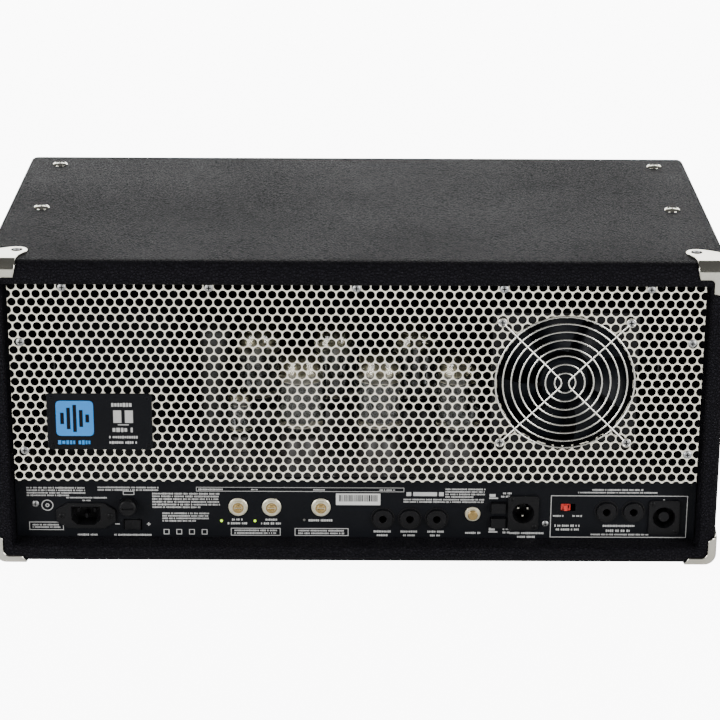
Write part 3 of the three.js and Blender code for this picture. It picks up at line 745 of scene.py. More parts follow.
def bars(low: Array, high: Array, finish: int = 0) -> Surface:
    """Many boxes at once from their (n, 3) lowest and highest corners."""
    pick = np.array([[0, 0, 0], [1, 0, 0], [1, 1, 0], [0, 1, 0], [0, 0, 1], [1, 0, 1], [1, 1, 1], [0, 1, 1]])
    sides = np.array([[0, 3, 2, 1], [4, 5, 6, 7], [0, 1, 5, 4], [1, 2, 6, 5], [2, 3, 7, 6], [3, 0, 4, 7]])
    points = low[:, None] * (1 - pick) + high[:, None] * pick
    faces = sides[None] + 8 * np.arange(len(low))[:, None, None]
    return Surface(points.reshape(-1, 3), [(faces.reshape(-1, 4), finish)])


def screw(place: Array, axis: Axis, outward: int, radius: float, height: float) -> Surface:
    """A domed cross-head screw: a head turned from a quarter-ellipse profile in finish 0, and a
    cross in finish 1 that is sunk into it and takes the painted shade of the recess, in metres.

    Args:
        place: the middle of the head's seat.
        axis: the screw's axis.
        outward: +1 or -1, the way the head faces along it.
        radius: the head's radius.
        height: the head's height.

    Returns:
        The head and its cross.
    """
    u, v, w = (place[index] for index in ACROSS[axis])
    turn = np.linspace(0, np.pi / 2, 6)
    crown = np.stack([radius * np.cos(turn), w + outward * height * (0.35 + 0.65 * np.sin(turn))], 1)
    profile = np.concatenate([[[0, w], [radius, w]], crown])
    head = revolve(profile, (u, v), axis, steps=20)
    arm, half = radius * 0.52, radius * 0.13
    cross = np.array([
        [arm, -half], [arm, half], [half, half], [half, arm], [-half, arm], [-half, half],
        [-arm, half], [-arm, -half], [-half, -half], [-half, -arm], [half, -arm], [half, -half],
    ]) + [u, v]
    # The cross is a solid inside the head, coloured as painted shade of the recess.
    low, high = sorted([w + outward * height * 0.6, w + outward * height * 1.03])
    return joined([head, extrude(cross, axis, low, high, finish=1)])


INK = 0.07


@dataclass(frozen=True)
class Face:
    """A flat side that fittings stand on. Places on it are in millimetres: across, to the right
    of someone who looks at it, and up from the floor."""

    y: float
    outward: int

    def across(self, x: float) -> float:
        """A place across in the frame's metres."""
        return -self.outward * x * MM

    def depth(self, proud: float) -> float:
        """The Y of a height above the face, given in millimetres."""
        return self.y + self.outward * proud * MM

    def turned(
        self, x: float, z: float, profile: list, steps: int = 32, finish: int = 0, closed: bool = False,
    ) -> Surface:
        """A turned fitting from (radius, height above the face) pairs in millimetres."""
        rings = np.array([[radius * MM, self.depth(height)] for radius, height in profile])
        return revolve(rings, (self.across(x), z * MM), Axis.Y, steps, finish, closed)

    def plate(
        self, x: float, z: float, width: float, height: float, low: float, high: float,
        radius: float = 0.0, finish: int = 0,
    ) -> Surface:
        """A plate centred at a place, from one height above the face to another."""
        u, half = self.across(x), width * MM / 2
        upright = (z - height / 2) * MM, (z + height / 2) * MM
        outline = box_outline((u - half, u + half), upright, radius * MM)
        return extrude(outline, Axis.Y, *sorted([self.depth(low), self.depth(high)]), finish=finish)

    def paint(self, x: Array, z: Array, width: Array, height: Array, finish: int = 0) -> Surface:
        """Many thin bars of print, given by their middles and sizes."""
        u = -self.outward * np.asarray(x, float)
        half, rise = np.asarray(width, float) / 2, np.asarray(height, float) / 2
        near, far = sorted([self.depth(0) / MM, self.depth(INK) / MM])
        low = np.stack(np.broadcast_arrays(u - half, near, z - rise), -1)
        high = np.stack(np.broadcast_arrays(u + half, far, z + rise), -1)
        return bars(low * MM, high * MM, finish)

    def outline(self, x: tuple[float, float], z: tuple[float, float], line: float = 0.55) -> Surface:
        """A painted rectangle of four lines."""
        mid = (x[0] + x[1]) / 2, (z[0] + z[1]) / 2
        wide, tall = x[1] - x[0] + line, z[1] - z[0] - line
        return self.paint(
            np.array([mid[0], mid[0], x[0], x[1]]), np.array([z[0], z[1], mid[1], mid[1]]),
            np.array([wide, wide, line, line]), np.array([line, line, tall, tall]),
        )

    def row(self, x: tuple[float, float], z: float, height: float, rng: np.random.Generator) -> Surface:
        """A row of short painted dashes in groups, which stands where a line of print would: each
        dash is a random width, and every few dashes a gap is left."""
        count = int((x[1] - x[0]) / (height * 0.62)) + 4
        width = height * rng.uniform(0.38, 0.72, count)
        gap = height * np.where(rng.random(count) < 0.17, 0.72, 0.2)
        start = x[0] + np.concatenate([[0], np.cumsum(width + gap)[:-1]])
        kept = start + width <= x[1]
        rise = height * rng.uniform(0.72, 1.0, count)
        return self.paint((start + width / 2)[kept], np.full(kept.sum(), z), width[kept], rise[kept])


# ---- cabinet ------------------------------------------------------------------------------


@dataclass
class CornerCap:
    """A pressed nickel cap over one rear corner: legs on the rear, a tongue on each outer side.

    Sizes are in millimetres. A row of the sheet runs round the corner; rows follow each other
    from the tongue's tip back over the fold and inwards on the rear.
    """

    side: int
    up: int
    corner: Array
    leg: tuple[float, float] = (27.0, 25.0)
    leg_width: float = 13.2
    fold_radius: float = 7.2
    edge_radius: tuple[float, float] = (8.0, 3.5)
    tongue: float = 37.3
    tongue_middle: tuple[float, float] = (25.2, 28.5)
    tongue_radius: float = 8.8
    hollow: float = 13.0
    seat_radius: float = 4.8
    screw_radius: float = 2.9
    layers: tuple = ((0.05, 0.0), (0.9, 0.0), (1.25, 0.2), (1.45, 0.75))

    def sheet(self, offset: float, shrink: float) -> Array:
        """The sheet at a height above the covering: a point's row gives its depth below the outer
        side and its Y, and its column slides from one end of the row, round the corner's arc, to
        the other. The rim draws back by shrink."""
        forward = np.concatenate([
            self.tongue - shrink - self.tongue_radius * (1 - np.cos(np.linspace(0, np.pi / 2, 8))),
            np.linspace(self.tongue - self.tongue_radius - shrink, self.fold_radius, 7)[1:-1],
        ])
        bend = np.linspace(0, np.pi / 2, 9)
        inward = np.linspace(self.fold_radius, self.leg_width - shrink, 5)[1:]
        radius = self.fold_radius + offset
        outer, level = np.full(len(forward), -offset), np.full(len(inward), offset)
        depth = np.concatenate([outer, self.fold_radius - radius * np.cos(bend), inward])
        rear = np.concatenate([-forward, -self.fold_radius + radius * np.sin(bend), level])
        leg = self.leg_reach(depth[len(forward):], shrink)
        reach = np.concatenate([self.tongue_reach(forward, shrink), leg])
        arc = self.edge_radius[0] + (self.edge_radius[1] - self.edge_radius[0]) * depth / self.leg_width
        centre = depth + arc
        turn = np.linspace(0, np.pi / 2, 9)
        slide = np.linspace(1, 0, 9)[:-1]
        straight = centre[:, None] + slide * (reach - centre)[:, None]
        flat = np.broadcast_to(depth[:, None], straight.shape)
        bow = centre[:, None] - arc[:, None] * np.sin(turn), centre[:, None] - arc[:, None] * np.cos(turn)
        across = np.concatenate([straight, bow[0], flat[:, ::-1]], 1)
        down = np.concatenate([flat, bow[1], straight[:, ::-1]], 1)
        inset = np.clip(1 - np.maximum(across, down) / self.tongue_middle[0], 0, 1)
        past = np.clip((-rear - self.fold_radius) / (self.tongue - self.fold_radius), 0, 1)
        back = rear[:, None] + self.hollow * past[:, None] * inset**1.6
        shift = np.stack([-self.side * across, back, -self.up * down], -1)
        return self.corner + shift * MM

    def tongue_reach(self, forward: Array, shrink: float) -> Array:
        """How far the tongue reaches in at a distance forward: a circle past its middle, and a
        soft narrowing from there to the fold."""
        across, along = self.tongue_middle
        radius = self.tongue_radius - shrink
        tip = across + np.sqrt(np.maximum(radius**2 - (forward - along) ** 2, 0))
        share = np.clip((forward - self.fold_radius) / (along - self.fold_radius), 0, 1)
        neck = self.leg[0] + (across + self.tongue_radius - self.leg[0]) * share**2 * (3 - 2 * share) - shrink
        return np.where(forward > along, tip, neck)

    def leg_reach(self, depth: Array, shrink: float) -> Array:
        """How far the leg reaches at a depth: a slanted end."""
        share = np.clip(depth / self.leg_width, 0, 1)
        return self.leg[0] + (self.leg[1] - self.leg[0]) * share**2 - shrink

    def surface(self) -> Surface:
        """The closed sheet: its lowest and highest layers, and walls between the layers' rims."""
        grids = np.stack([self.sheet(offset, shrink) for offset, shrink in self.layers])
        count, rows, columns = grids.shape[:3]
        number = np.arange(rows * columns).reshape(rows, columns)
        rim = np.concatenate([number[0, :-1], number[:-1, -1], number[-1, :0:-1], number[:0:-1, 0]])
        step = rows * columns
        walls = np.concatenate([
            np.stack([rim, np.roll(rim, -1), np.roll(rim, -1) + step, rim + step], 1) + layer * step
            for layer in range(count - 1)
        ])
        face = grid_faces(rows, columns, False, False)
        return Surface(grids.reshape(-1, 3), [(face, 0), (face + (count - 1) * step, 0), (walls, 0)])

    def screws(self) -> Surface:
        """A countersunk screw on each tongue: finish 0 the head, 1 a disc round it painted as the seat's
        shade.
        """
        across, along = self.tongue_middle
        parts = []
        for axis, spot in ((Axis.Z, (across, -1.45)), (Axis.X, (-1.45, across))):
            place = self.corner + np.array([-self.side * spot[0], -along, -self.up * spot[1]]) * MM
            u, v, w = (place[index] for index in ACROSS[axis])
            outward = self.side if axis is Axis.X else self.up
            low, high = sorted([w - outward * 0.5 * MM, w + outward * 0.06 * MM])
            # The seat is a disc coloured as painted shade of the countersink round the head.
            seat = circle_outline(u, v, self.seat_radius * MM)
            parts.append(extrude(seat, axis, low, high, finish=1))
            parts.append(screw(place, axis, outward, self.screw_radius * MM, 0.8 * MM))
        return joined(parts)


@dataclass
class Cabinet:
    """The covered box: one vinyl sleeve over four boards, with caps, lid bolts, feet and handles."""

    outer_radius: float = 6 * MM
    inner_radius: float = 1.5 * MM
    end_outer_radius: float = 8.0 * MM
    end_inner_radius: float = 3.0 * MM
    corner_steps: int = 8
    bolt_across: float = 273 * MM
    bolt_rows: tuple[float, float] = (8.2 * MM, -131.8 * MM)
    strap_rise: float = 15.5 * MM

    def build(self) -> None:
        """Makes every piece of the cabinet."""
        self.sleeve()
        self.caps()
        self.bolts()
        for name in ("foot_1", "foot_2", "foot_3", "foot_4"):
            self.foot(name)
        for name, side in (("left_handle", -1), ("right_handle", 1)):
            self.handle(name, side)

    def outline(self, u: tuple[float, float], v: tuple[float, float], radius: float) -> Array:
        """A rectangle with the same number of points in each corner's arc, so that an inner and
        an outer outline match point for point."""
        turn = np.linspace(0, np.pi / 2, self.corner_steps)
        arcs = []
        for quarter, (right, high) in enumerate(((1, 1), (0, 1), (0, 0), (1, 0))):
            angle = turn + quarter * np.pi / 2
            centre = [u[1] - radius if right else u[0] + radius, v[1] - radius if high else v[0] + radius]
            arcs.append(np.array(centre) + radius * np.stack([np.cos(angle), np.sin(angle)], 1))
        return np.concatenate(arcs)

    def sleeve(self) -> None:
        """The covered boards as one skin: each point lies between the inner and the outer outline
        by its share across the board, and its Y follows the board's section."""
        top, bottom = extent("top_board"), extent("bottom_board")
        inner_half = abs(extent("left_board")[1][0])
        outer = self.outline((top[0][0], top[1][0]), (bottom[0][2], top[1][2]), self.outer_radius)
        inner = self.outline((-inner_half, inner_half), (bottom[1][2], top[0][2]), self.inner_radius)
        section = self.section(top[0][1], top[1][1])
        share = section[:, 0][None, :, None]
        flat = inner[:, None] * (1 - share) + outer[:, None] * share
        y = np.broadcast_to(section[:, 1][None], flat.shape[:2])
        points = np.stack([flat[..., 0], y, flat[..., 1]], -1)
        surface = Surface(points.reshape(-1, 3), [(grid_faces(len(outer), len(section), True, True), 0)])
        boards = ("top_board", "bottom_board", "left_board", "right_board")
        make_piece("vinyl_sleeve", surface, [VINYL], replaces=boards)

    def section(self, front: float, rear: float) -> Array:
        """The board's section as (share across the board, Y) pairs, 0 at the inner face and 1 at
        the outer. Each end is two quarter ellipses with a short flat between them."""
        board = 15 * MM
        quarter = np.linspace(0, np.pi / 2, 7)
        outer, inner = self.end_outer_radius, self.end_inner_radius
        sink, draw = 1 - np.cos(quarter), 1 - np.sin(quarter)
        rear_outer = np.stack([1 - outer / board * sink, rear - outer * draw], 1)
        rear_inner = np.stack([inner / board * draw, rear - inner * sink], 1)
        rear_half = np.concatenate([rear_outer, rear_inner])
        front_half = np.stack([rear_half[:, 0], front + rear - rear_half[:, 1]], 1)[::-1]
        return np.concatenate([rear_half, front_half])

    def caps(self) -> None:
        """Four rear corner caps and their screws."""
        low = extent("bottom_board")[0]
        high = extent("top_board")[1]
        screws = []
        for level, up in (("top", 1), ("bottom", -1)):
            for hand, side in (("left", -1), ("right", 1)):
                corner = np.array([side * high[0], high[1], high[2] if up > 0 else low[2]])
                cap = CornerCap(side, up, corner)
                if up < 0:
                    cap = CornerCap(
                        side, up, corner, leg=(25.5, 22.0), leg_width=6.6, fold_radius=5.5,
                        edge_radius=(9.0, 5.5),
                    )
                make_piece(
                    f"pressed_cap_{level}_{hand}", cap.surface(), [NICKEL],
                    replaces=(f"corner_cap_{level}_{hand}",), sharp=50,
                )
                screws.append(cap.screws())
        make_piece("cap_screws", joined(screws), [ZINC, PAINTED_RECESS_SHADE])

    def bolts(self) -> None:
        """Four lid bolts: a domed cup washer with a cross-head in it."""
        top = extent("top_board")[1][2]
        cup = np.array([[0, 0], [6.9, 0], [6.6, 0.7], [5.6, 1.5], [4.5, 1.7], [3.9, 0.9], [0, 0.8]]) * MM
        parts = []
        for x in (-self.bolt_across, self.bolt_across):
            for y in self.bolt_rows:
                parts.append(revolve(cup + [0, top], (x, y), Axis.Z, steps=36))
                place = np.array([x, y, top + 0.7 * MM])
                parts.append(screw(place, Axis.Z, 1, 3.3 * MM, 1.1 * MM))
        make_piece("lid_bolts", joined(parts), [NICKEL, PAINTED_RECESS_SHADE])

    def foot(self, node: str) -> None:
        """A moulded foot: turned rubber with a ribbed side and a screw up its middle."""
        low, high = extent(node)
        radius, height = (high[0] - low[0]) / 2, high[2] - low[2]
        centre = ((low[0] + high[0]) / 2, (low[1] + high[1]) / 2)
        share = np.array([
            [0.28, 0.30], [0.28, 0.0], [0.76, 0.0], [0.82, 0.04], [0.86, 0.12], [0.90, 0.40], [0.93, 0.44],
            [0.93, 0.50], [0.91, 0.54], [0.95, 0.80], [1.0, 0.86], [1.0, 1.0], [0, 1.0], [0, 0.30],
        ])
        profile = share * [radius, height] + [0, low[2]]
        body = revolve(profile, centre, Axis.Z, steps=48)
        washer = screw(np.array([*centre, low[2] + 0.29 * height]), Axis.Z, -1, radius * 0.25, 2 * MM)
        shells = [(rows, finish + 1) for rows, finish in washer.faces]
        parts = joined([body, Surface(washer.points, shells)])
        make_piece(f"{node}_moulded", parts, [RUBBER, ZINC, PAINTED_RECESS_SHADE], replaces=(node,), sharp=28)

    def handle(self, node: str, side: int) -> None:
        """A side strap: a flat rounded section carried along an arch, under a metal end plate at
        each end. The arch stands off by the rise times a half-cosine that falls at the ends."""
        low, high = extent(node)
        wall = side * extent("top_board")[1][0]
        middle_z, half_y = (low[2] + high[2]) / 2, (high[1] - low[1]) / 2
        along = np.linspace(-1, 1, 81)
        fall = np.clip((np.abs(along) - 0.36) / 0.42, 0, 1)
        stand = 3.4 * MM + self.strap_rise * (0.5 + 0.5 * np.cos(np.pi * fall))
        y = along * (half_y - 12 * MM)
        narrow = 1 - 0.10 * (1 - fall)
        channel = np.array([
            [-1, -1], [-0.86, -1], [-0.86, -0.7], [0.86, -0.7], [0.86, -1], [1, -1], [1, 1], [-1, 1],
        ])
        profile = rounded(channel, 0.16, True, 3)
        across = profile[:, 0][None] * 12.5 * MM * narrow[:, None]
        thick = profile[:, 1][None] * 2.1 * MM
        slope = np.gradient(stand, y)[:, None]
        lean = np.sqrt(1 + slope**2)
        x = wall + side * (stand[:, None] + thick / lean)
        path_y = y[:, None] - thick * slope / lean
        points = np.stack([x, path_y, middle_z + across], -1)
        count = len(profile)
        ends = np.stack([np.arange(count), (len(along) - 1) * count + np.arange(count)])
        strap = Surface(points.reshape(-1, 3), [(grid_faces(len(along), count, False, True), 0), (ends, 0)])
        parts = [strap]
        for end in (-1, 1):
            parts += self.handle_end(wall, side, end * (half_y - 22 * MM), middle_z, end)
        finishes = [STRAP, NICKEL, PAINTED_RECESS_SHADE]
        make_piece(f"{node}_strap", joined(parts), finishes, replaces=(node,), sharp=35)

    def handle_end(self, wall: float, side: int, y: float, z: float, end: int) -> list[Surface]:
        """An end plate: a rounded shell whose height falls towards its rim as a rounded square
        does, (1 - |u|^6 - |v|^6) to the power one third, and two screws in it."""
        radius = np.linspace(0, 1, 13)[:, None] ** 0.6
        angle = np.linspace(0, 2 * np.pi, 48, endpoint=False)[None]
        square = (np.abs(np.cos(angle)) ** 5 + np.abs(np.sin(angle)) ** 5) ** (-1 / 5)
        u, v = radius * square * np.cos(angle), radius * square * np.sin(angle)
        lift = np.clip(1 - np.abs(u) ** 6 - np.abs(v) ** 6, 0, 1) ** (1 / 3)
        lift = np.where(radius < 1, lift, 0)
        x = wall + side * (0.2 * MM + 7.2 * MM * lift)
        points = np.stack([x, y + u * 21 * MM, z + v * 15.5 * MM], -1).reshape(-1, 3)
        rim = (np.arange(48) + 12 * 48)[None]
        plate = Surface(points, [(grid_faces(13, 48, False, True), 1), (rim, 1)])
        heads = []
        for shift in (-11, 11):
            place = np.array([wall + side * 7.1 * MM, y + shift * MM, z])
            head = screw(place, Axis.X, side, 3.6 * MM, 1.2 * MM)
            heads.append(Surface(head.points, [(rows, finish + 1) for rows, finish in head.faces]))
        return [plate, *heads]


# ---- rear grille, badge and fan -----------------------------------------------------------


@dataclass
class RearGrille:
    """The perforated rear plate: round holes on a staggered lattice, cut off at its edges, with
    its screws and the badge. Lattice sizes are in metres, screw places in millimetres."""

    pitch: float = 8 * MM
    hole_radius: float = 3.64 * MM
    lattice: tuple[float, float] = (48.6 * MM, 250.5 * MM)
    thickness: float = 0.8 * MM
    sides: int = 12
    fan_opening: float = 56 * MM
    top_screws: tuple = (-239.4, -120, 0, 120, 239.4)
    side_screws: tuple = ((-275, 216.0), (-275, 120.5), (275, 217), (275.6, 119))

    def build(self) -> None:
        """Makes the plate, its screws and the badge."""
        self.low, self.high = extent("rear_grille")
        self.low[1] = self.high[1] - self.thickness
        guard = middle("fan_guard")
        self.fan = np.array([guard[0], guard[2]])
        make_piece(
            "perforated_plate", self.plate(), [GRILLE], replaces=("rear_grille",), sharp=50,
        )
        face = Face(self.high[1], 1)
        places = [(x, 263.2) for x in self.top_screws] + list(self.side_screws)
        heads = [
            screw(np.array([face.across(x), face.y, z * MM]), Axis.Y, 1, 3.5 * MM, 1.5 * MM)
            for x, z in places
        ]
        make_piece("grille_screws", joined(heads), [ZINC, PAINTED_RECESS_SHADE])
        self.badge()

    def held(self, points: Array) -> Array:
        """Points moved onto the plate's outline where they lie outside it or in the fan opening."""
        flat = np.clip(points, self.low[[0, 2]], self.high[[0, 2]])
        rel = flat - self.fan
        reach = np.maximum(np.linalg.norm(rel, axis=-1, keepdims=True), 1e-9)
        return np.where(reach < self.fan_opening, self.fan + rel * self.fan_opening / reach, flat)

    def lost(self, points: Array) -> Array:
        """Which points lie outside the plate or in the fan opening."""
        outside = np.any((points < self.low[[0, 2]]) | (points > self.high[[0, 2]]), axis=-1)
        return outside | (np.linalg.norm(points - self.fan, axis=-1) < self.fan_opening)

    def plate(self) -> Surface:
        """One ring of quads per lattice cell between the hole's circle and the cell's hexagon, on
        both faces, with a wall down each hole. Row j is j row pitches down, and odd rows stand
        half a pitch across. Points outside the plate are held on its outline."""
        row_pitch = self.pitch * math.sin(math.pi / 3)
        j, i = np.meshgrid(np.arange(-4, 28), np.arange(-60, 60), indexing="ij")
        across = self.lattice[0] + (i + (j % 2) * 0.5) * self.pitch
        centre = np.stack([across, self.lattice[1] - j * row_pitch], -1).reshape(-1, 2)
        near = (centre > self.low[[0, 2]] - self.pitch) & (centre < self.high[[0, 2]] + self.pitch)
        centre = centre[near.all(axis=1)]
        angle = np.arange(self.sides) * 2 * np.pi / self.sides
        unit = np.stack([np.cos(angle), np.sin(angle)], 1)
        turn = (angle + np.pi / 6) % (np.pi / 3) - np.pi / 6
        cell = unit * (self.pitch / 2 / np.cos(turn))[:, None]
        return self.thickened(centre[:, None] + cell, centre[:, None] + unit * self.hole_radius)

    def thickened(self, rim: Array, hole: Array) -> Surface:
        """Two faces and the walls between them.

        Args:
            rim: (cells, sides, 2) points of the cells' hexagons.
            hole: (cells, sides, 2) points of the holes' circles.

        Returns:
            The plate. A quad stays where any of its corners is on the plate and it has an area.
        """
        raw = np.concatenate([rim.reshape(-1, 2), hole.reshape(-1, 2)])
        flat = self.held(raw)
        count = rim.shape[0] * self.sides
        here = np.arange(count).reshape(-1, self.sides)
        there = np.roll(here, -1, 1)
        quads = np.stack([here, there, there + count, here + count], -1).reshape(-1, 4)
        corner = flat[quads]
        first, second = corner[:, 2] - corner[:, 0], corner[:, 3] - corner[:, 1]
        area = np.abs(first[:, 0] * second[:, 1] - first[:, 1] * second[:, 0]) / 2
        quads = quads[(area > (0.05 * MM) ** 2) & ~self.lost(raw)[quads].all(axis=1)]
        total = len(flat)
        skins = [
            np.stack([flat[:, 0], np.full(total, y), flat[:, 1]], 1) for y in (self.high[1], self.low[1])
        ]
        points = np.concatenate(skins)
        inner = np.stack([quads[:, 3], quads[:, 2], quads[:, 2] + total, quads[:, 3] + total], 1)
        edge = quads[self.on_outline(flat[quads[:, 0]]) & self.on_outline(flat[quads[:, 1]])]
        outer = np.stack([edge[:, 0], edge[:, 1], edge[:, 1] + total, edge[:, 0] + total], 1)
        return Surface(points, [(quads, 0), (quads[:, ::-1] + total, 0), (inner, 0), (outer, 0)])

    def on_outline(self, points: Array) -> Array:
        """Which points lie on the plate's outer edge or on the fan opening."""
        near = 1e-6
        edges = (np.abs(points - self.low[[0, 2]]) < near) | (np.abs(points - self.high[[0, 2]]) < near)
        reach = np.linalg.norm(points - self.fan, axis=1)
        return edges.any(axis=1) | (np.abs(reach - self.fan_opening) < near)

    def badge(self) -> None:
        """A plain black badge: a blue tile with level bars on it, rows of dashes and four pins."""
        low, high = extent("badge_plate")
        across, up = -(low[0] + high[0]) / 2 / MM, (low[2] + high[2]) / 2 / MM
        wide, tall = (high[0] - low[0]) / MM, (high[2] - low[2]) / MM
        face = Face(low[1], 1)
        front = (high[1] - low[1]) / MM
        make_piece(
            "badge", face.plate(across, up, wide, tall, 0, front, 3.5), [BLACK_PAINT],
            replaces=("badge_plate",), bevel=0.35 * MM,
        )
        top = Face(high[1], 1)
        tile = (across - 20.5, up + 3.0)
        parts = [top.plate(tile[0], tile[1], 31, 31, -0.1, 0.35, 4)]
        heights = np.array([10.0, 19.0, 24.0, 15.0, 7.0])
        places = tile[0] + np.linspace(-10.4, 10.4, 5)
        raised = Face(high[1] + 0.35 * MM, 1)
        parts.append(raised.paint(places, np.full(5, tile[1]), np.full(5, 3.0), heights, finish=1))
        rng = np.random.default_rng(5)
        parts.append(top.row((tile[0] - 14.5, tile[0] + 14.5), up - 18.4, 4.0, rng))
        make_piece("badge_tile", joined(parts), [BLUE, BLACK_PAINT])
        right = across + 19.5
        rows = [(15.0, 3.4, 9.5), (-7.2, 4.2, 9.0), (-13.6, 2.4, 12.0), (-18.4, 2.4, 12.0)]
        marks = [
            top.row((right - half, right + half), up + shift, height, rng) for shift, height, half in rows
        ]
        pair = right + np.array([-4.8, 4.8])
        marks.append(top.paint(pair, np.full(2, up + 4.6), np.full(2, 6.6), np.full(2, 11.0)))
        marks.append(top.paint(np.array([right]), np.array([up - 2.6]), np.array([9.0]), np.array([0.8])))
        make_piece("badge_marks", joined(marks), [PRINT])
        pins = []
        for sx in (-1, 1):
            for sz in (-1, 1):
                x, z = top.across(across + sx * (wide / 2 - 4)), (up + sz * (tall / 2 - 4)) * MM
                pins.append(screw(np.array([x, high[1], z]), Axis.Y, 1, 1.7 * MM, 0.8 * MM))
        make_piece("badge_pins", joined(pins), [BLACK_PAINT, PAINTED_RECESS_SHADE])


@dataclass
class Fan:
    """The fan: a turned-blade rotor, a moulded frame and a bright wire guard. Millimetres."""

    rings: tuple = (8.6, 16.2, 23.6, 30.4, 37.4, 44.4, 51.3, 57.3)
    wire: float = 0.75
    screw_reach: float = 52.5
    blades: int = 7
    hub: float = 19.5
    tip: float = 54.5

    def build(self) -> None:
        """Makes the guard, the rotor and the frame."""
        self.centre = middle("fan_guard")
        self.guard()
        self.rotor()
        eased_copy("fan_frame", BLACK_PLASTIC, 0.8 * MM)

    def guard(self) -> None:
        """Eight rings with two bent wires welded across them, and a screw in each eye. A bent
        wire runs along one diagonal, turns near the middle and leaves along the other."""
        low, high = extent("fan_guard")
        y = low[1] + self.wire * MM
        parts = [
            ring(radius * MM, self.wire * MM, np.array([self.centre[0], y, self.centre[2]]), Axis.Y, steps=96)
            for radius in self.rings
        ]
        reach = self.screw_reach
        eye = reach - 2.6
        heads = []
        for side in (-1, 1):
            bend = rounded(np.array([[side * eye, eye], [side * 0.5, 0], [side * eye, -eye]]), 7.0, False, 10)
            path = np.stack([bend[:, 0], np.full(len(bend), 1.6 * self.wire), bend[:, 1]], 1) * MM
            parts.append(sweep(path + [self.centre[0], y, self.centre[2]], self.wire * MM))
            for up in (-1, 1):
                place = np.array([self.centre[0] + side * reach * MM, y, self.centre[2] + up * reach * MM])
                parts.append(ring(3.3 * MM, self.wire * MM, place + [0, 1.2 * MM, 0], Axis.Y, steps=32))
                heads.append(screw(place - [0, 0.6 * MM, 0], Axis.Y, 1, 3.6 * MM, 2.4 * MM))
        make_piece("guard_wires", joined(parts), [WIRE], replaces=("fan_guard",), sharp=60)
        make_piece("guard_screws", joined(heads), [ZINC, PAINTED_RECESS_SHADE])

    def rotor(self) -> None:
        """A hub and swept blades: over a blade, radius runs from hub to tip, the angle grows with
        the share across it and leans forward with the radius, and Y falls with that share."""
        low, high = extent("fan_rotor")
        centre = (self.centre[0], self.centre[2])
        mid, half = (low[1] + high[1]) / 2, (high[1] - low[1]) / 2
        hub_share = np.array([
            [0, -1], [0.96, -1], [1, -0.9], [1, 0.86], [0.93, 1], [0.45, 1], [0.42, 0.9], [0, 0.9],
        ])
        parts = [revolve(hub_share * [self.hub * MM, half] + [0, mid], centre, Axis.Y, steps=48)]
        radius = np.linspace(self.hub - 1, self.tip, 12)[:, None, None]
        share = np.linspace(0, 1, 9)[None, :, None]
        sheet = np.array([0.5, -0.5])[None, None]
        out = (radius - self.hub) / (self.tip - self.hub)
        for index in range(self.blades):
            angle = index * 2 * np.pi / self.blades + share * (0.78 - 0.12 * out) + 0.30 * out**1.5
            depth = (share - 0.5) * (17 - 5 * out) + 1.3 * sheet + 1.6 * np.sin(np.pi * share)
            x = centre[0] + radius * MM * np.cos(angle) + 0 * depth
            z = centre[1] + radius * MM * np.sin(angle) + 0 * depth
            grid = np.stack([x, mid + depth * MM * 0.95, z], -1)
            parts.append(self.shell(grid))
        make_piece(
            "rotor_blades", joined(parts), [BLADE], "fan_rotor", ("fan_rotor",), sharp=40,
        )

    @staticmethod
    def shell(grid: Array) -> Surface:
        """A closed shell from a (rows, columns, 2, 3) grid of its two skins."""
        rows, columns = grid.shape[:2]
        skins = np.moveaxis(grid, 2, 0).reshape(-1, 3)
        face = grid_faces(rows, columns, False, False)
        step = rows * columns
        number = np.arange(step).reshape(rows, columns)
        rim = np.concatenate([number[0, :-1], number[:-1, -1], number[-1, :0:-1], number[:0:-1, 0]])
        after = np.roll(rim, -1)
        walls = np.stack([rim, after, after + step, rim + step], 1)
        return Surface(skins, [(face, 0), (face + step, 0), (walls, 0)])


# ---- inside -------------------------------------------------------------------------------


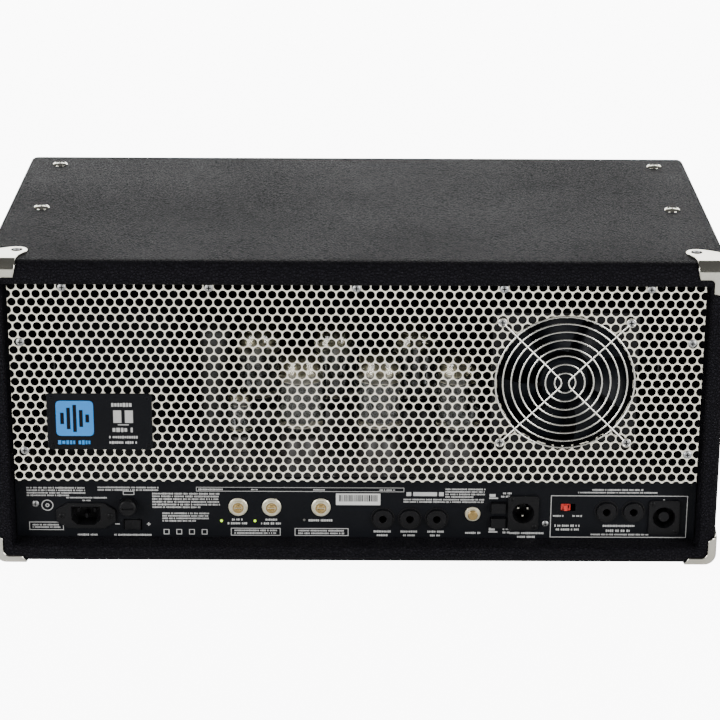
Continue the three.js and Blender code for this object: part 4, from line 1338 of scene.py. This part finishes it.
@dataclass
class Valves:
    """Glass valves on the chassis: bulb, base, plates, spacers and a silvery getter."""

    glass: float = 0.8 * MM

    def build(self) -> None:
        """Makes every valve, the transformers and the capacitor."""
        for index in range(1, 7):
            self.power_valve(f"power_valve_{index}")
        self.power_valve("driver_valve")
        for node in ("power_transformer", "output_transformer"):
            eased_copy(node, BLACK_PAINT, 2.0 * MM)
        eased_copy("filter_capacitor", PLATE, 0.8 * MM)
        eased_copy("circuit_board", BOARD, 0.2 * MM)
        eased_copy("chassis", ZINC, 0.4 * MM)

    def power_valve(self, node: str) -> None:
        """One valve in its CAD node's space. The bulb is a turned wall: its outer profile climbs,
        and the same profile drawn in by the glass comes back down."""
        low, high = extent(node)
        centre = ((low[0] + high[0]) / 2, (low[1] + high[1]) / 2)
        radius, height = (high[0] - low[0]) / 2, high[2] - low[2]
        bulb_radius = radius * 0.97
        share = np.array([
            [0.70, 0.2], [0.93, 0.30], [1, 0.40], [1, 0.74], [0.95, 0.84], [0.78, 0.93], [0.42, 0.985],
            [0, 1.0],
        ])
        smooth = rounded(share, 0.05, False, 3)
        outer = smooth * [bulb_radius, height] + [0, low[2]]
        inner = np.maximum(outer - [self.glass, 0], [0, 0])
        inner[:, 1] -= self.glass * smooth[:, 1] ** 6
        wall = revolve(np.concatenate([outer, inner[::-1]]), centre, Axis.Z, steps=32, closed=True)
        make_piece(f"{node}_bulb", wall, [GLASS], replaces=(node,), sharp=60)
        socket = np.array([
            [0, 0], [0.92, 0], [0.92, 0.05], [0.80, 0.055], [0.78, 0.21], [0.70, 0.23], [0, 0.23],
        ])
        parts = [
            revolve(socket * [radius, height] + [0, low[2]], centre, Axis.Z, steps=32),
            self.plates(centre, radius, low[2], height),
            self.getter(centre, bulb_radius, low[2], height),
        ]
        for level in (0.335, 0.735):
            disc = np.array([[0, 0], [0.86, 0], [0.86, 0.006], [0, 0.006]]) * [radius, height]
            parts.append(revolve(disc + [0, low[2] + level * height], centre, Axis.Z, steps=24, finish=3))
        make_piece(f"{node}_inner", joined(parts), [BASE, PLATE, GETTER, MICA], sharp=40)

    def plates(self, centre: tuple[float, float], radius: float, low: float, height: float) -> Surface:
        """The anode: an upright box with wings, ribbed across, from one outline carried up."""
        wing = np.array([
            [-0.74, -0.10], [-0.42, -0.16], [-0.34, -0.40], [0.34, -0.40], [0.42, -0.16], [0.74, -0.10],
            [0.74, 0.10], [0.42, 0.16], [0.34, 0.40], [-0.34, 0.40], [-0.42, 0.16], [-0.74, 0.10],
        ]) * radius + np.array(centre)
        return extrude(wing, Axis.Z, low + 0.345 * height, low + 0.73 * height, finish=1)

    def getter(self, centre: tuple[float, float], radius: float, low: float, height: float) -> Surface:
        """The silvered film inside the crown, a turned shell just under the glass."""
        share = np.array([[0.90, 0.80], [0.88, 0.85], [0.72, 0.915], [0.40, 0.962], [0, 0.975]])
        outer = share * [radius, height] + [0, low]
        inner = outer * [0.97, 1] - [0, 0.3 * MM]
        return revolve(np.concatenate([outer, inner[::-1]]), centre, Axis.Z, steps=32, finish=2, closed=True)


# ---- rear panel ---------------------------------------------------------------------------


TRIMS = ("trim_shaft_1", "trim_shaft_2", "trim_shaft_3")
LINE_JACKS = ("line_jack_1", "line_jack_2", "line_jack_3")
SPEAKER_JACKS = ("speaker_jack_1", "speaker_jack_2")
BUTTONS = ("push_button_upper", "push_button_lower")


def across(*nodes: str) -> float:
    """How far across the rear the middle of some fittings lies, in millimetres."""
    return float(-np.mean([middle(node)[0] for node in nodes]) / MM)


@dataclass(frozen=True)
class Caption:
    """A block of print centred on one or more fittings, in millimetres: its longest line, its
    first line's height above the floor, how many lines it has and how tall their letters are,
    and how far to the right of the fittings it is shifted."""

    nodes: tuple[str, ...]
    width: float
    top: float
    lines: int = 1
    letter: float = 2.0
    shift: float = 0.0


@dataclass
class RearPanel:
    """The connection panel: its print, nuts, lamps, screws and eased fittings. Millimetres."""

    leading: float = 1.55
    short_line: float = 0.28
    fine_line: float = 0.4
    switch_mark: float = 2.1
    small_level: float = 0.8

    def build(self) -> None:
        """Makes every piece of the panel."""
        self.face = Face(extent("rear_panel")[1][1], 1)
        self.printing()
        self.nuts()
        self.lamps()
        self.label()
        self.small_screws()
        sockets = ("mains_inlet", "fuse_cap", "polarity_rocker", "three_pin_socket", "twist_lock_socket")
        for node in (*sockets, *BUTTONS, *LINE_JACKS, *SPEAKER_JACKS):
            eased_copy(node, BLACK_PLASTIC, 0.35 * MM)
        for node in TRIMS:
            eased_copy(node, BRASS, 0.25 * MM)
        eased_copy("level_shaft", BRASS, 0.4 * MM)
        eased_copy("impedance_slide", RED, 0.25 * MM)

    def captions(self) -> list[Caption]:
        """Every block of print, in the order in which its dashes are drawn."""
        inlet, fuse, polarity = ("mains_inlet",), ("fuse_cap",), ("polarity_rocker",)
        beside_fuse, pair, third = ("fuse_cap", TRIMS[0]), TRIMS[:2], TRIMS[2:]
        level, socket, slide = ("level_shaft",), ("three_pin_socket",), ("impedance_slide",)
        blocks = [
            Caption(inlet, 50, 80, 4, 1.5, -24.5), Caption(fuse, 52, 80.5, 2, 1.5, 0.5),
            Caption(inlet, 34.5, 71, 1, 1.4, 1), Caption(inlet, 7.5, 68.5, 1, 1.3, 1),
            Caption(inlet, 23.5, 46, 2, 1.4, -34), Caption(inlet, 17.5, 37, 1, 1.8, 1),
            Caption(polarity, 32, 37, 1, 1.8), Caption(beside_fuse, 57, 75, 6, 1.6, 2.5),
            Caption(beside_fuse, 39.5, 57, 4, 1.5, 2), Caption(pair[:1], 20.5, 79, 1, 1.7, -23),
            Caption(pair, 6, 79, 1, 1.3), Caption(third, 10, 79, 1, 1.3, -1.5),
            Caption(LINE_JACKS[:1], 14, 79, 1, 1.3, 4),
        ]
        for trim in pair:
            blocks += [Caption((trim,), 10.5, 51.5), Caption((trim,), 18, 48)]
        blocks.append(Caption(third, 21, 51))
        blocks += [Caption(nodes, width, 41.5, 2, 1.6, 0.5) for nodes, width in ((pair, 36), (third, 39.5))]
        for jack, width in zip(LINE_JACKS, (9, 10, 10)):
            blocks += [Caption((jack,), wide, top, 1, 1.9, -0.5) for wide, top in ((14.5, 41), (width, 37.5))]
        blocks += [
            Caption(level, 13, 40, shift=0.5), Caption(level, 34.5, 80, 4, 1.5, -6),
            Caption(LINE_JACKS[2:], 68.5, 70.5, 2, 1.4, 6),
            Caption(BUTTONS, 8.5, 76.5, 1, 1.8, 8), Caption(BUTTONS, 11.5, 73.5, 1, 1.8, 8),
            Caption(BUTTONS, 7.5, 43.5, 1, 1.8, 8), Caption(BUTTONS, 7.5, 40.5, 1, 1.8, 8),
            Caption(socket, 29, 40, shift=3.5), Caption(socket, 16, 36.5, shift=3.5),
            Caption(slide, 9, 56, 1, 1.6, -6), Caption(slide, 9, 56, 1, 1.6, 10.5),
            Caption(slide, 22, 47, shift=2), Caption(slide, 19.5, 43.5, shift=2),
            Caption(SPEAKER_JACKS, 44, 80, 1, 1.5, -2), Caption(SPEAKER_JACKS, 67.5, 77.5, 1, 1.4, -2),
            Caption(SPEAKER_JACKS, 28, 47, 1, 1.9), Caption(SPEAKER_JACKS, 22.5, 42.5, 1, 2.4),
            Caption(SPEAKER_JACKS, 49, 39, 1, 1.4, 0.5),
        ]
        return blocks

    def printing(self) -> None:
        """Rows of dashes where the lines of print stand, the lines round them, and the marks."""
        rng = np.random.default_rng(11)
        parts = []
        for block in self.captions():
            left = across(*block.nodes) + block.shift - block.width / 2
            for index in range(block.lines):
                last = block.lines > 2 and index == block.lines - 1
                width = block.width * (1 - self.short_line * last)
                height = block.top - index * block.letter * self.leading
                parts.append(self.face.row((left, left + width), height, block.letter, rng))
        parts += self.outlines()
        parts.append(self.face.paint(*self.marks().T))
        ground = across("mains_inlet") - 32.5
        for inner, outer in ((4.3, 5.0), (0.9, 1.7)):
            parts.append(self.washer(ground, 64, inner, outer, INK, 0))
        make_piece("panel_print", joined(parts), [PRINT])

    def outlines(self) -> list[Surface]:
        """The painted lines round the speaker side, the trims' notes, the earth note, the fuse's
        rating and the long heading, and four switch marks in a row beside the fuse."""
        inlet, first, trims, third = (
            across(*nodes) for nodes in (("mains_inlet",), TRIMS[:1], TRIMS[:2], TRIMS[2:])
        )
        boxes = (
            ((165, 280), (36.5, 74.5)), ((trims - 20.25, trims + 21.25), (37, 43.5)),
            ((third - 22, third + 23), (37, 43.5)), ((inlet - 48.25, inlet - 19.75), (41.5, 48.5)),
            ((across("fuse_cap") - 4, across("fuse_cap") + 5), (74, 77)),
        )
        lines = [self.face.outline(x, z) for x, z in boxes]
        heading = first - 35, across(LINE_JACKS[1]) - 5.25
        lines.append(self.face.outline(heading, (77.5, 81), self.fine_line))
        half = self.switch_mark
        for step in (-1.5, -0.5, 0.5, 1.5):
            x = across("fuse_cap", TRIMS[0]) + 1.5 + step * 10.75
            lines.append(self.face.outline((x - half, x + half), (40 - half, 40 + half), 0.6))
        return lines

    def marks(self) -> Array:
        """Rows of a mark's middle across, its height above the floor, its width and its height:
        minus and plus beside the polarity rocker, and solid bars by the jacks and buttons."""
        polarity, jacks = across("polarity_rocker"), across(*LINE_JACKS[1:]) + 1.25
        rows = [
            [polarity - 13, 47, 4, 0.7], [polarity + 13.5, 47, 3.2, 0.7], [polarity + 13.5, 47, 0.7, 3.2],
            [jacks, 75.5, 20, 3.5], [across("twist_lock_socket") - 0.5, 68.5, 1.2, 6],
        ]
        rows += [[jacks + step, 75.5, 4, 3.5] for step in (-13.75, 13.75)]
        button = across(*BUTTONS)
        for z in (74.5, 43.5):
            rows += [[button - 5, z, 5, 2.5], [button - 4, z - 2.5, 7.5, 1.2]]
        return np.array(rows)

    def washer(self, x: float, z: float, inner: float, outer: float, height: float, finish: int) -> Surface:
        """A flat ring on the panel."""
        profile = [(inner, 0), (outer, 0), (outer, height), (inner, height)]
        return self.face.turned(x, z, profile, 36, finish, closed=True)

    def nuts(self) -> None:
        """A bright nut, washer and threaded bush round each shaft, and a dark nut by each jack."""
        parts = []
        for node in (*TRIMS, "level_shaft"):
            x, z = across(node), middle(node)[2] / MM
            scale = self.small_level if node == "level_shaft" else 1.0
            rim = [(3.6, 0), (8.1, 0), (8.1, 0.5), (7.5, 1.0), (6.2, 1.15), (5.9, 1.6), (3.6, 1.6)]
            collar = [(r * scale if r > 4 else r, h) for r, h in rim]
            parts.append(self.face.turned(x, z, collar, 40, 0, True))
            turn = np.linspace(0, 2 * np.pi, 7)[:-1]
            corners = np.stack([np.cos(turn), np.sin(turn)], 1) * 6.3 * scale * MM
            corners = corners + [self.face.across(x), z * MM]
            parts.append(extrude(corners, Axis.Y, self.face.depth(1.2), self.face.depth(2.6)))
            crest, root = 4.7 * scale, 4.4 * scale
            bush = [
                (3.45, 0), (crest, 0), (crest, 2.2), (root, 2.5), (crest, 2.8), (root, 3.2), (3.45, 3.3),
            ]
            parts.append(self.face.turned(x, z, bush, 32, 1, True))
        make_piece("shaft_nuts", joined(parts), [CREAM_METAL, BRASS], sharp=30)
        rings = []
        for node in (*LINE_JACKS, *SPEAKER_JACKS):
            rings.append(self.washer(across(node), middle(node)[2] / MM, 8.9, 10.1, 0.5, 0))
        make_piece("jack_washers", joined(rings), [BLACK_PLASTIC])

    def lamps(self) -> None:
        """Three small lamps, each below and to the left of its trim, two of them lit."""
        dome = [(0, 0), (1.15, 0), (1.1, 0.4), (0.8, 0.8), (0.4, 1.0), (0, 1.1)]
        domes = [
            self.face.turned(across(node) - 14.2, middle(node)[2] / MM - drop, dome, 16)
            for node, drop in zip(TRIMS, (12.75, 12.75, 11.75))
        ]
        make_piece("lit_lamps", joined(domes[:2]), [LIT_LAMP])
        make_piece("unlit_lamp", domes[2], [DARK_LAMP])

    def label(self) -> None:
        """A pale paper label with plain dark bars on it."""
        thickness = 0.12
        paper = self.face.plate(2, 70.5, 37.5, 10.5, 0, thickness)
        rng = np.random.default_rng(23)
        width = rng.uniform(0.25, 0.9, 40)
        start = -15.0 + np.cumsum(width + rng.uniform(0.25, 0.7, 40))
        kept = start < 18.5
        raised = Face(self.face.depth(thickness), 1)
        middles, heights = np.full(kept.sum(), 71.5), np.full(kept.sum(), 6.0)
        ink = raised.paint(start[kept], middles, width[kept], heights, finish=1)
        make_piece("paper_label", joined([paper, ink]), [PAPER, BLACK_PAINT])

    def small_screws(self) -> None:
        """Bright screws on the panel, and black ones in the sockets' flanges."""
        at = self.face
        bright = [
            screw(np.array([at.across(x), at.y, z * MM]), Axis.Y, 1, radius * MM, 1.4 * MM)
            for x, z, radius in (
                (across("mains_inlet") - 42.5, 65.5, 3.0), (across("three_pin_socket") + 19, 49, 2.8),
            )
        ]
        make_piece("panel_screws", joined(bright), [ZINC, PAINTED_RECESS_SHADE])
        dark = []
        for node, reach in (("three_pin_socket", (9.6, 12.4)), ("twist_lock_socket", (9.9, 12.6))):
            spot = middle(node) / MM
            front = extent(node)[1][1]
            for sign in (-1, 1):
                place = np.array([spot[0] + sign * reach[0], front / MM, spot[2] + sign * reach[1]]) * MM
                dark.append(screw(place, Axis.Y, 1, 2.0 * MM, 0.7 * MM))
        inlet = middle("mains_inlet")
        for sign in (-1, 1):
            place = np.array([inlet[0] + sign * 20.5 * MM, extent("mains_inlet")[1][1], inlet[2]])
            dark.append(screw(place, Axis.Y, 1, 2.4 * MM, 0.8 * MM))
        make_piece("flange_screws", joined(dark), [BLACK_PLASTIC, PAINTED_RECESS_SHADE])
        pins = []
        for angle in (30, 150, 270):
            spot = middle("three_pin_socket") / MM
            turn = math.radians(angle)
            x, z = -(spot[0] + 4.6 * math.cos(turn)), spot[2] + 4.6 * math.sin(turn)
            pins.append(at.turned(x, z, [(0, -9), (1.25, -9), (1.25, -4.1), (0.8, -3.5), (0, -3.4)], 12))
        make_piece("socket_pins", joined(pins), [NICKEL])


# ---- front --------------------------------------------------------------------------------


@dataclass
class Front:
    """The front: a brushed control panel below a stretched cloth baffle. Millimetres."""

    row_height: float = 62
    lamp: tuple[float, float] = (122.0, 62.0)

    def build(self) -> None:
        """Makes every piece of the front."""
        self.face = Face(extent("front_panel")[0][1], -1)
        eased_copy("front_panel", ALUMINIUM, 0.3 * MM)
        self.dials()
        for index in range(1, 6):
            self.knob(f"knob_{index}")
        for node in ("standby_rocker", "power_rocker"):
            eased_copy(node, BLACK_PLASTIC, 0.8 * MM)
            self.bezel(node)
        for node in ("input_jack_1", "input_jack_2"):
            eased_copy(node, NICKEL, 0.4 * MM)
        self.pilot_lamp()
        self.baffle()

    def dials(self) -> None:
        """Eleven ticks round each knob, from seven to five o'clock, and a line under the controls."""
        ticks = []
        turn = np.radians(np.linspace(-135, 135, 11))
        for index in range(1, 6):
            spot = middle(f"knob_{index}") / MM
            radius = np.where(np.arange(11) % 5 == 0, 17.6, 17.2)
            x, z = spot[0] + radius * np.sin(turn), self.row_height + radius * np.cos(turn)
            size = np.where(np.arange(11) % 5 == 0, 1.7, 1.0)
            ticks.append(self.face.paint(x, z, size, size))
        levels = np.array([39.2, 86.6])
        ticks.append(self.face.paint(np.zeros(2), levels, np.full(2, 560.0), np.full(2, 0.6)))
        make_piece("dial_marks", joined(ticks), [BLACK_PAINT])

    def knob(self, node: str) -> None:
        """A fluted knob: over a turned profile, the radius of the grip swells and sinks with the
        cosine of 18 turns, and the skirt below it stays round. A pale line marks its top."""
        low, high = extent(node)
        centre = (low[0] + high[0]) / 2, self.row_height * MM
        face = self.face.y
        profile = np.array([
            [0, 17], [7.6, 17], [9.3, 16.6], [10.1, 15.6], [10.5, 12], [11.0, 4.6], [13.0, 4.2], [13.5, 3.6],
            [13.5, 1.7], [12.8, 1.5], [3, 1.5], [3, -12], [0, -12],
        ])
        fluted = np.array([0, 0, 0.4, 1, 1, 1, 0, 0, 0, 0, 0, 0, 0])[:, None]
        angle = np.linspace(0, 2 * np.pi, 108, endpoint=False)[None]
        radius = (profile[:, :1] - 0.45 * fluted * (0.5 + 0.5 * np.cos(18 * angle))) * MM
        y = np.broadcast_to(face - profile[:, 1:] * MM, radius.shape)
        points = placed(centre[0] + radius * np.sin(angle), centre[1] + radius * np.cos(angle), y, Axis.Y)
        body = Surface(points.reshape(-1, 3), [(grid_faces(len(profile), 108, False, True), 0)])
        at = Face(face, -1)
        line = joined([
            at.plate(centre[0] / MM, self.row_height + 5.4, 1.1, 7.4, 16.6, 17.15, finish=1),
            at.plate(centre[0] / MM, self.row_height + 12.1, 1.1, 2.4, 3.0, 4.5, finish=1),
        ])
        make_piece(
            f"{node}_fluted", joined([body, line]), [BLACK_PLASTIC, PRINT], node, (node,),
            sharp=40,
        )

    def bezel(self, node: str) -> None:
        """A raised frame round a rocker."""
        spot = middle(node) / MM
        outer = box_outline((-9.6, 9.6), (-15.4, 15.4), 2.0)
        inner = box_outline((-6.9, 6.9), (-12.6, 12.6), 0.8)
        count = len(outer)
        heights = ((outer, 0.0), (outer, 1.4), (outer * 0.955, 2.0), (inner, 2.0), (inner, 0.0))
        loops = []
        for loop, height in heights:
            x, z = (spot[0] + loop[:, 0]) * MM, (self.row_height + loop[:, 1]) * MM
            loops.append(placed(x, z, np.full(count, self.face.depth(height)), Axis.Y))
        frame_surface = Surface(np.concatenate(loops), [(grid_faces(len(loops), count, True, True), 0)])
        make_piece(f"{node}_bezel", frame_surface, [BLACK_PLASTIC])

    def pilot_lamp(self) -> None:
        """A faceted red jewel in a bright ring, between the knobs and the rockers."""
        ring_profile = [(6.4, 0), (9.0, 0), (9.0, 1.6), (8.2, 2.6), (6.9, 2.8), (6.4, 2.0)]
        collar = self.face.turned(*self.lamp, ring_profile, 40, 0, True)
        facets = [(0, 0), (6.4, 0), (6.4, 2.2), (4.9, 4.6), (2.4, 6.0), (0, 6.3)]
        jewel = self.face.turned(*self.lamp, facets, 12, 1)
        make_piece("pilot_lamp", joined([collar, jewel]), [NICKEL, JEWEL], sharp=25)

    def baffle(self) -> None:
        """The baffle board, the cleat that closes the joint below it, its stretched cloth and a
        pale welt round it."""
        low, high = extent("front_baffle")
        eased_copy("front_baffle", BLACK_PAINT, 0.5 * MM, "baffle_board")
        cleat = box_outline((low[0], high[0]), (low[2] - 0.2 * MM, low[2] + 14 * MM), 1 * MM)
        strip = extrude(cleat, Axis.Y, high[1] + 0.1 * MM, high[1] + 8 * MM)
        make_piece("baffle_cleat", strip, [BLACK_PAINT])
        width, height = high[0] - low[0] - 3 * MM, high[2] - low[2] - 3 * MM
        u = np.linspace(-1, 1, 97)[:, None]
        v = np.linspace(-1, 1, 33)[None]
        crown = 1.2 * MM * (1 - u**8) * (1 - v**4)
        x = (low[0] + high[0]) / 2 + u * width / 2 + 0 * v
        z = (low[2] + high[2]) / 2 + v * height / 2 + 0 * u
        points = np.stack([x, low[1] - 0.5 * MM - crown, z], -1)
        cloth = Surface(points.reshape(-1, 3), [(grid_faces(97, 33, False, False), 0)])
        piece = make_piece("baffle_cloth", cloth, [CLOTH])
        thick = piece.modifiers.new("thickness", "SOLIDIFY")
        thick.thickness = 0.5 * MM
        thick.offset = 0
        inset = 1.6 * MM
        path = box_outline((low[0] + inset, high[0] - inset), (low[2] + inset, high[2] - inset), 5 * MM)
        loop = placed(path[:, 0], path[:, 1], np.full(len(path), low[1] - 0.6 * MM), Axis.Y)
        make_piece("baffle_welt", sweep(loop, 1.5 * MM, 10, True), [WELT], sharp=80)


# ---- stage --------------------------------------------------------------------------------


@dataclass
class Stage:
    """The floor, the soft lights and the camera."""

    camera_place: tuple[float, float, float] = (0.000, 2.0439, 0.8855)
    camera_turn: tuple[float, float, float] = (70.05, -0.25, 180.0)
    lens: float = 122.3
    floor_size: float = 12.0
    floor_glow: float = 9.0
    surround: float = 0.12

    def build(self) -> None:
        """Sets the stage."""
        self.floor()
        self.lights()
        data = bpy.data.cameras.new("camera")
        data.lens = self.lens
        data.sensor_width = 36
        data.clip_end = 50
        camera = bpy.data.objects.new("camera", data)
        camera.location = self.camera_place
        camera.rotation_euler = [math.radians(angle) for angle in self.camera_turn]
        bpy.context.scene.collection.objects.link(camera)
        bpy.context.scene.camera = camera

    def floor(self) -> None:
        """A wide pale floor, brighter to the camera than the light it throws on the object."""
        size = self.floor_size
        mesh = bpy.data.meshes.new("floor")
        corners = [(-size, -size, 0), (size, -size, 0), (size, size, 0), (-size, size, 0)]
        mesh.from_pydata(corners, [], [(0, 1, 2, 3)])
        material = bpy.data.materials.new("pale_floor")
        material.use_nodes = True
        shader = material.node_tree.nodes["Principled BSDF"]
        shader.inputs["Base Color"].default_value = (0.96, 0.96, 0.96, 1)
        shader.inputs["Roughness"].default_value = 0.9
        tree = NodeTree(material.node_tree)
        seen = tree.add("ShaderNodeLightPath").outputs["Is Camera Ray"]
        tree.tree.links.new(tree.math("MULTIPLY", seen, self.floor_glow), shader.inputs["Emission Strength"])
        shader.inputs["Emission Color"].default_value = (1, 1, 1, 1)
        mesh.materials.append(material)
        floor = bpy.data.objects.new("floor", mesh)
        bpy.context.scene.collection.objects.link(floor)

    def lights(self) -> None:
        """A dim even surround, a wide low light on the far side of the object, and a soft one on
        each side of the camera, so the folds along the top mirror a dark ceiling."""
        world = bpy.data.worlds.new("surround")
        world.use_nodes = True
        background = world.node_tree.nodes["Background"]
        background.inputs[0].default_value = (1, 1, 1, 1)
        tree = NodeTree(world.node_tree)
        seen = tree.add("ShaderNodeLightPath").outputs["Is Camera Ray"]
        strength = tree.math("MULTIPLY_ADD", seen, self.floor_glow, self.surround)
        tree.tree.links.new(strength, background.inputs[1])
        bpy.context.scene.world = world
        self.panel("low_front", (0.0, -4.5, 1.7), (0.0, 0.0, 0.2), (8.0, 2.6), 330)
        for side in (-1, 1):
            self.panel(f"beside_{side}", (side * 2.9, 2.6, 1.3), (0.0, 0.0, 0.1), (2.2, 2.4), 185)

    def panel(self, name: str, place: tuple, aim: tuple, size: tuple[float, float], power: float) -> None:
        """A rectangular soft light at a place, facing a point."""
        data = bpy.data.lights.new(name, "AREA")
        data.shape = "RECTANGLE"
        data.size, data.size_y = size
        data.energy = power
        light = bpy.data.objects.new(name, data)
        light.location = place
        light.rotation_euler = (Vector(aim) - Vector(place)).to_track_quat("-Z", "Y").to_euler()
        bpy.context.scene.collection.objects.link(light)


def dress_frame() -> None:
    """Gives every CAD node the finish of its slot."""
    for name, node in frame["nodes"].items():
        node.data.materials.clear()
        node.data.materials.append(SLOT_FINISH[slot_of(name)].material())


def main() -> None:
    """Builds the looks in order and reports each piece."""
    logging.basicConfig(level=logging.INFO, format="%(message)s")
    for build_group in (leather_grain_group, edge_wear_group, patches_group, brushed_group):
        build_group()
    Stage().build()
    dress_frame()
    for assembly in (Cabinet(), RearGrille(), Fan(), Valves(), RearPanel(), Front()):
        assembly.build()


if __name__ == "__main__":
    main()
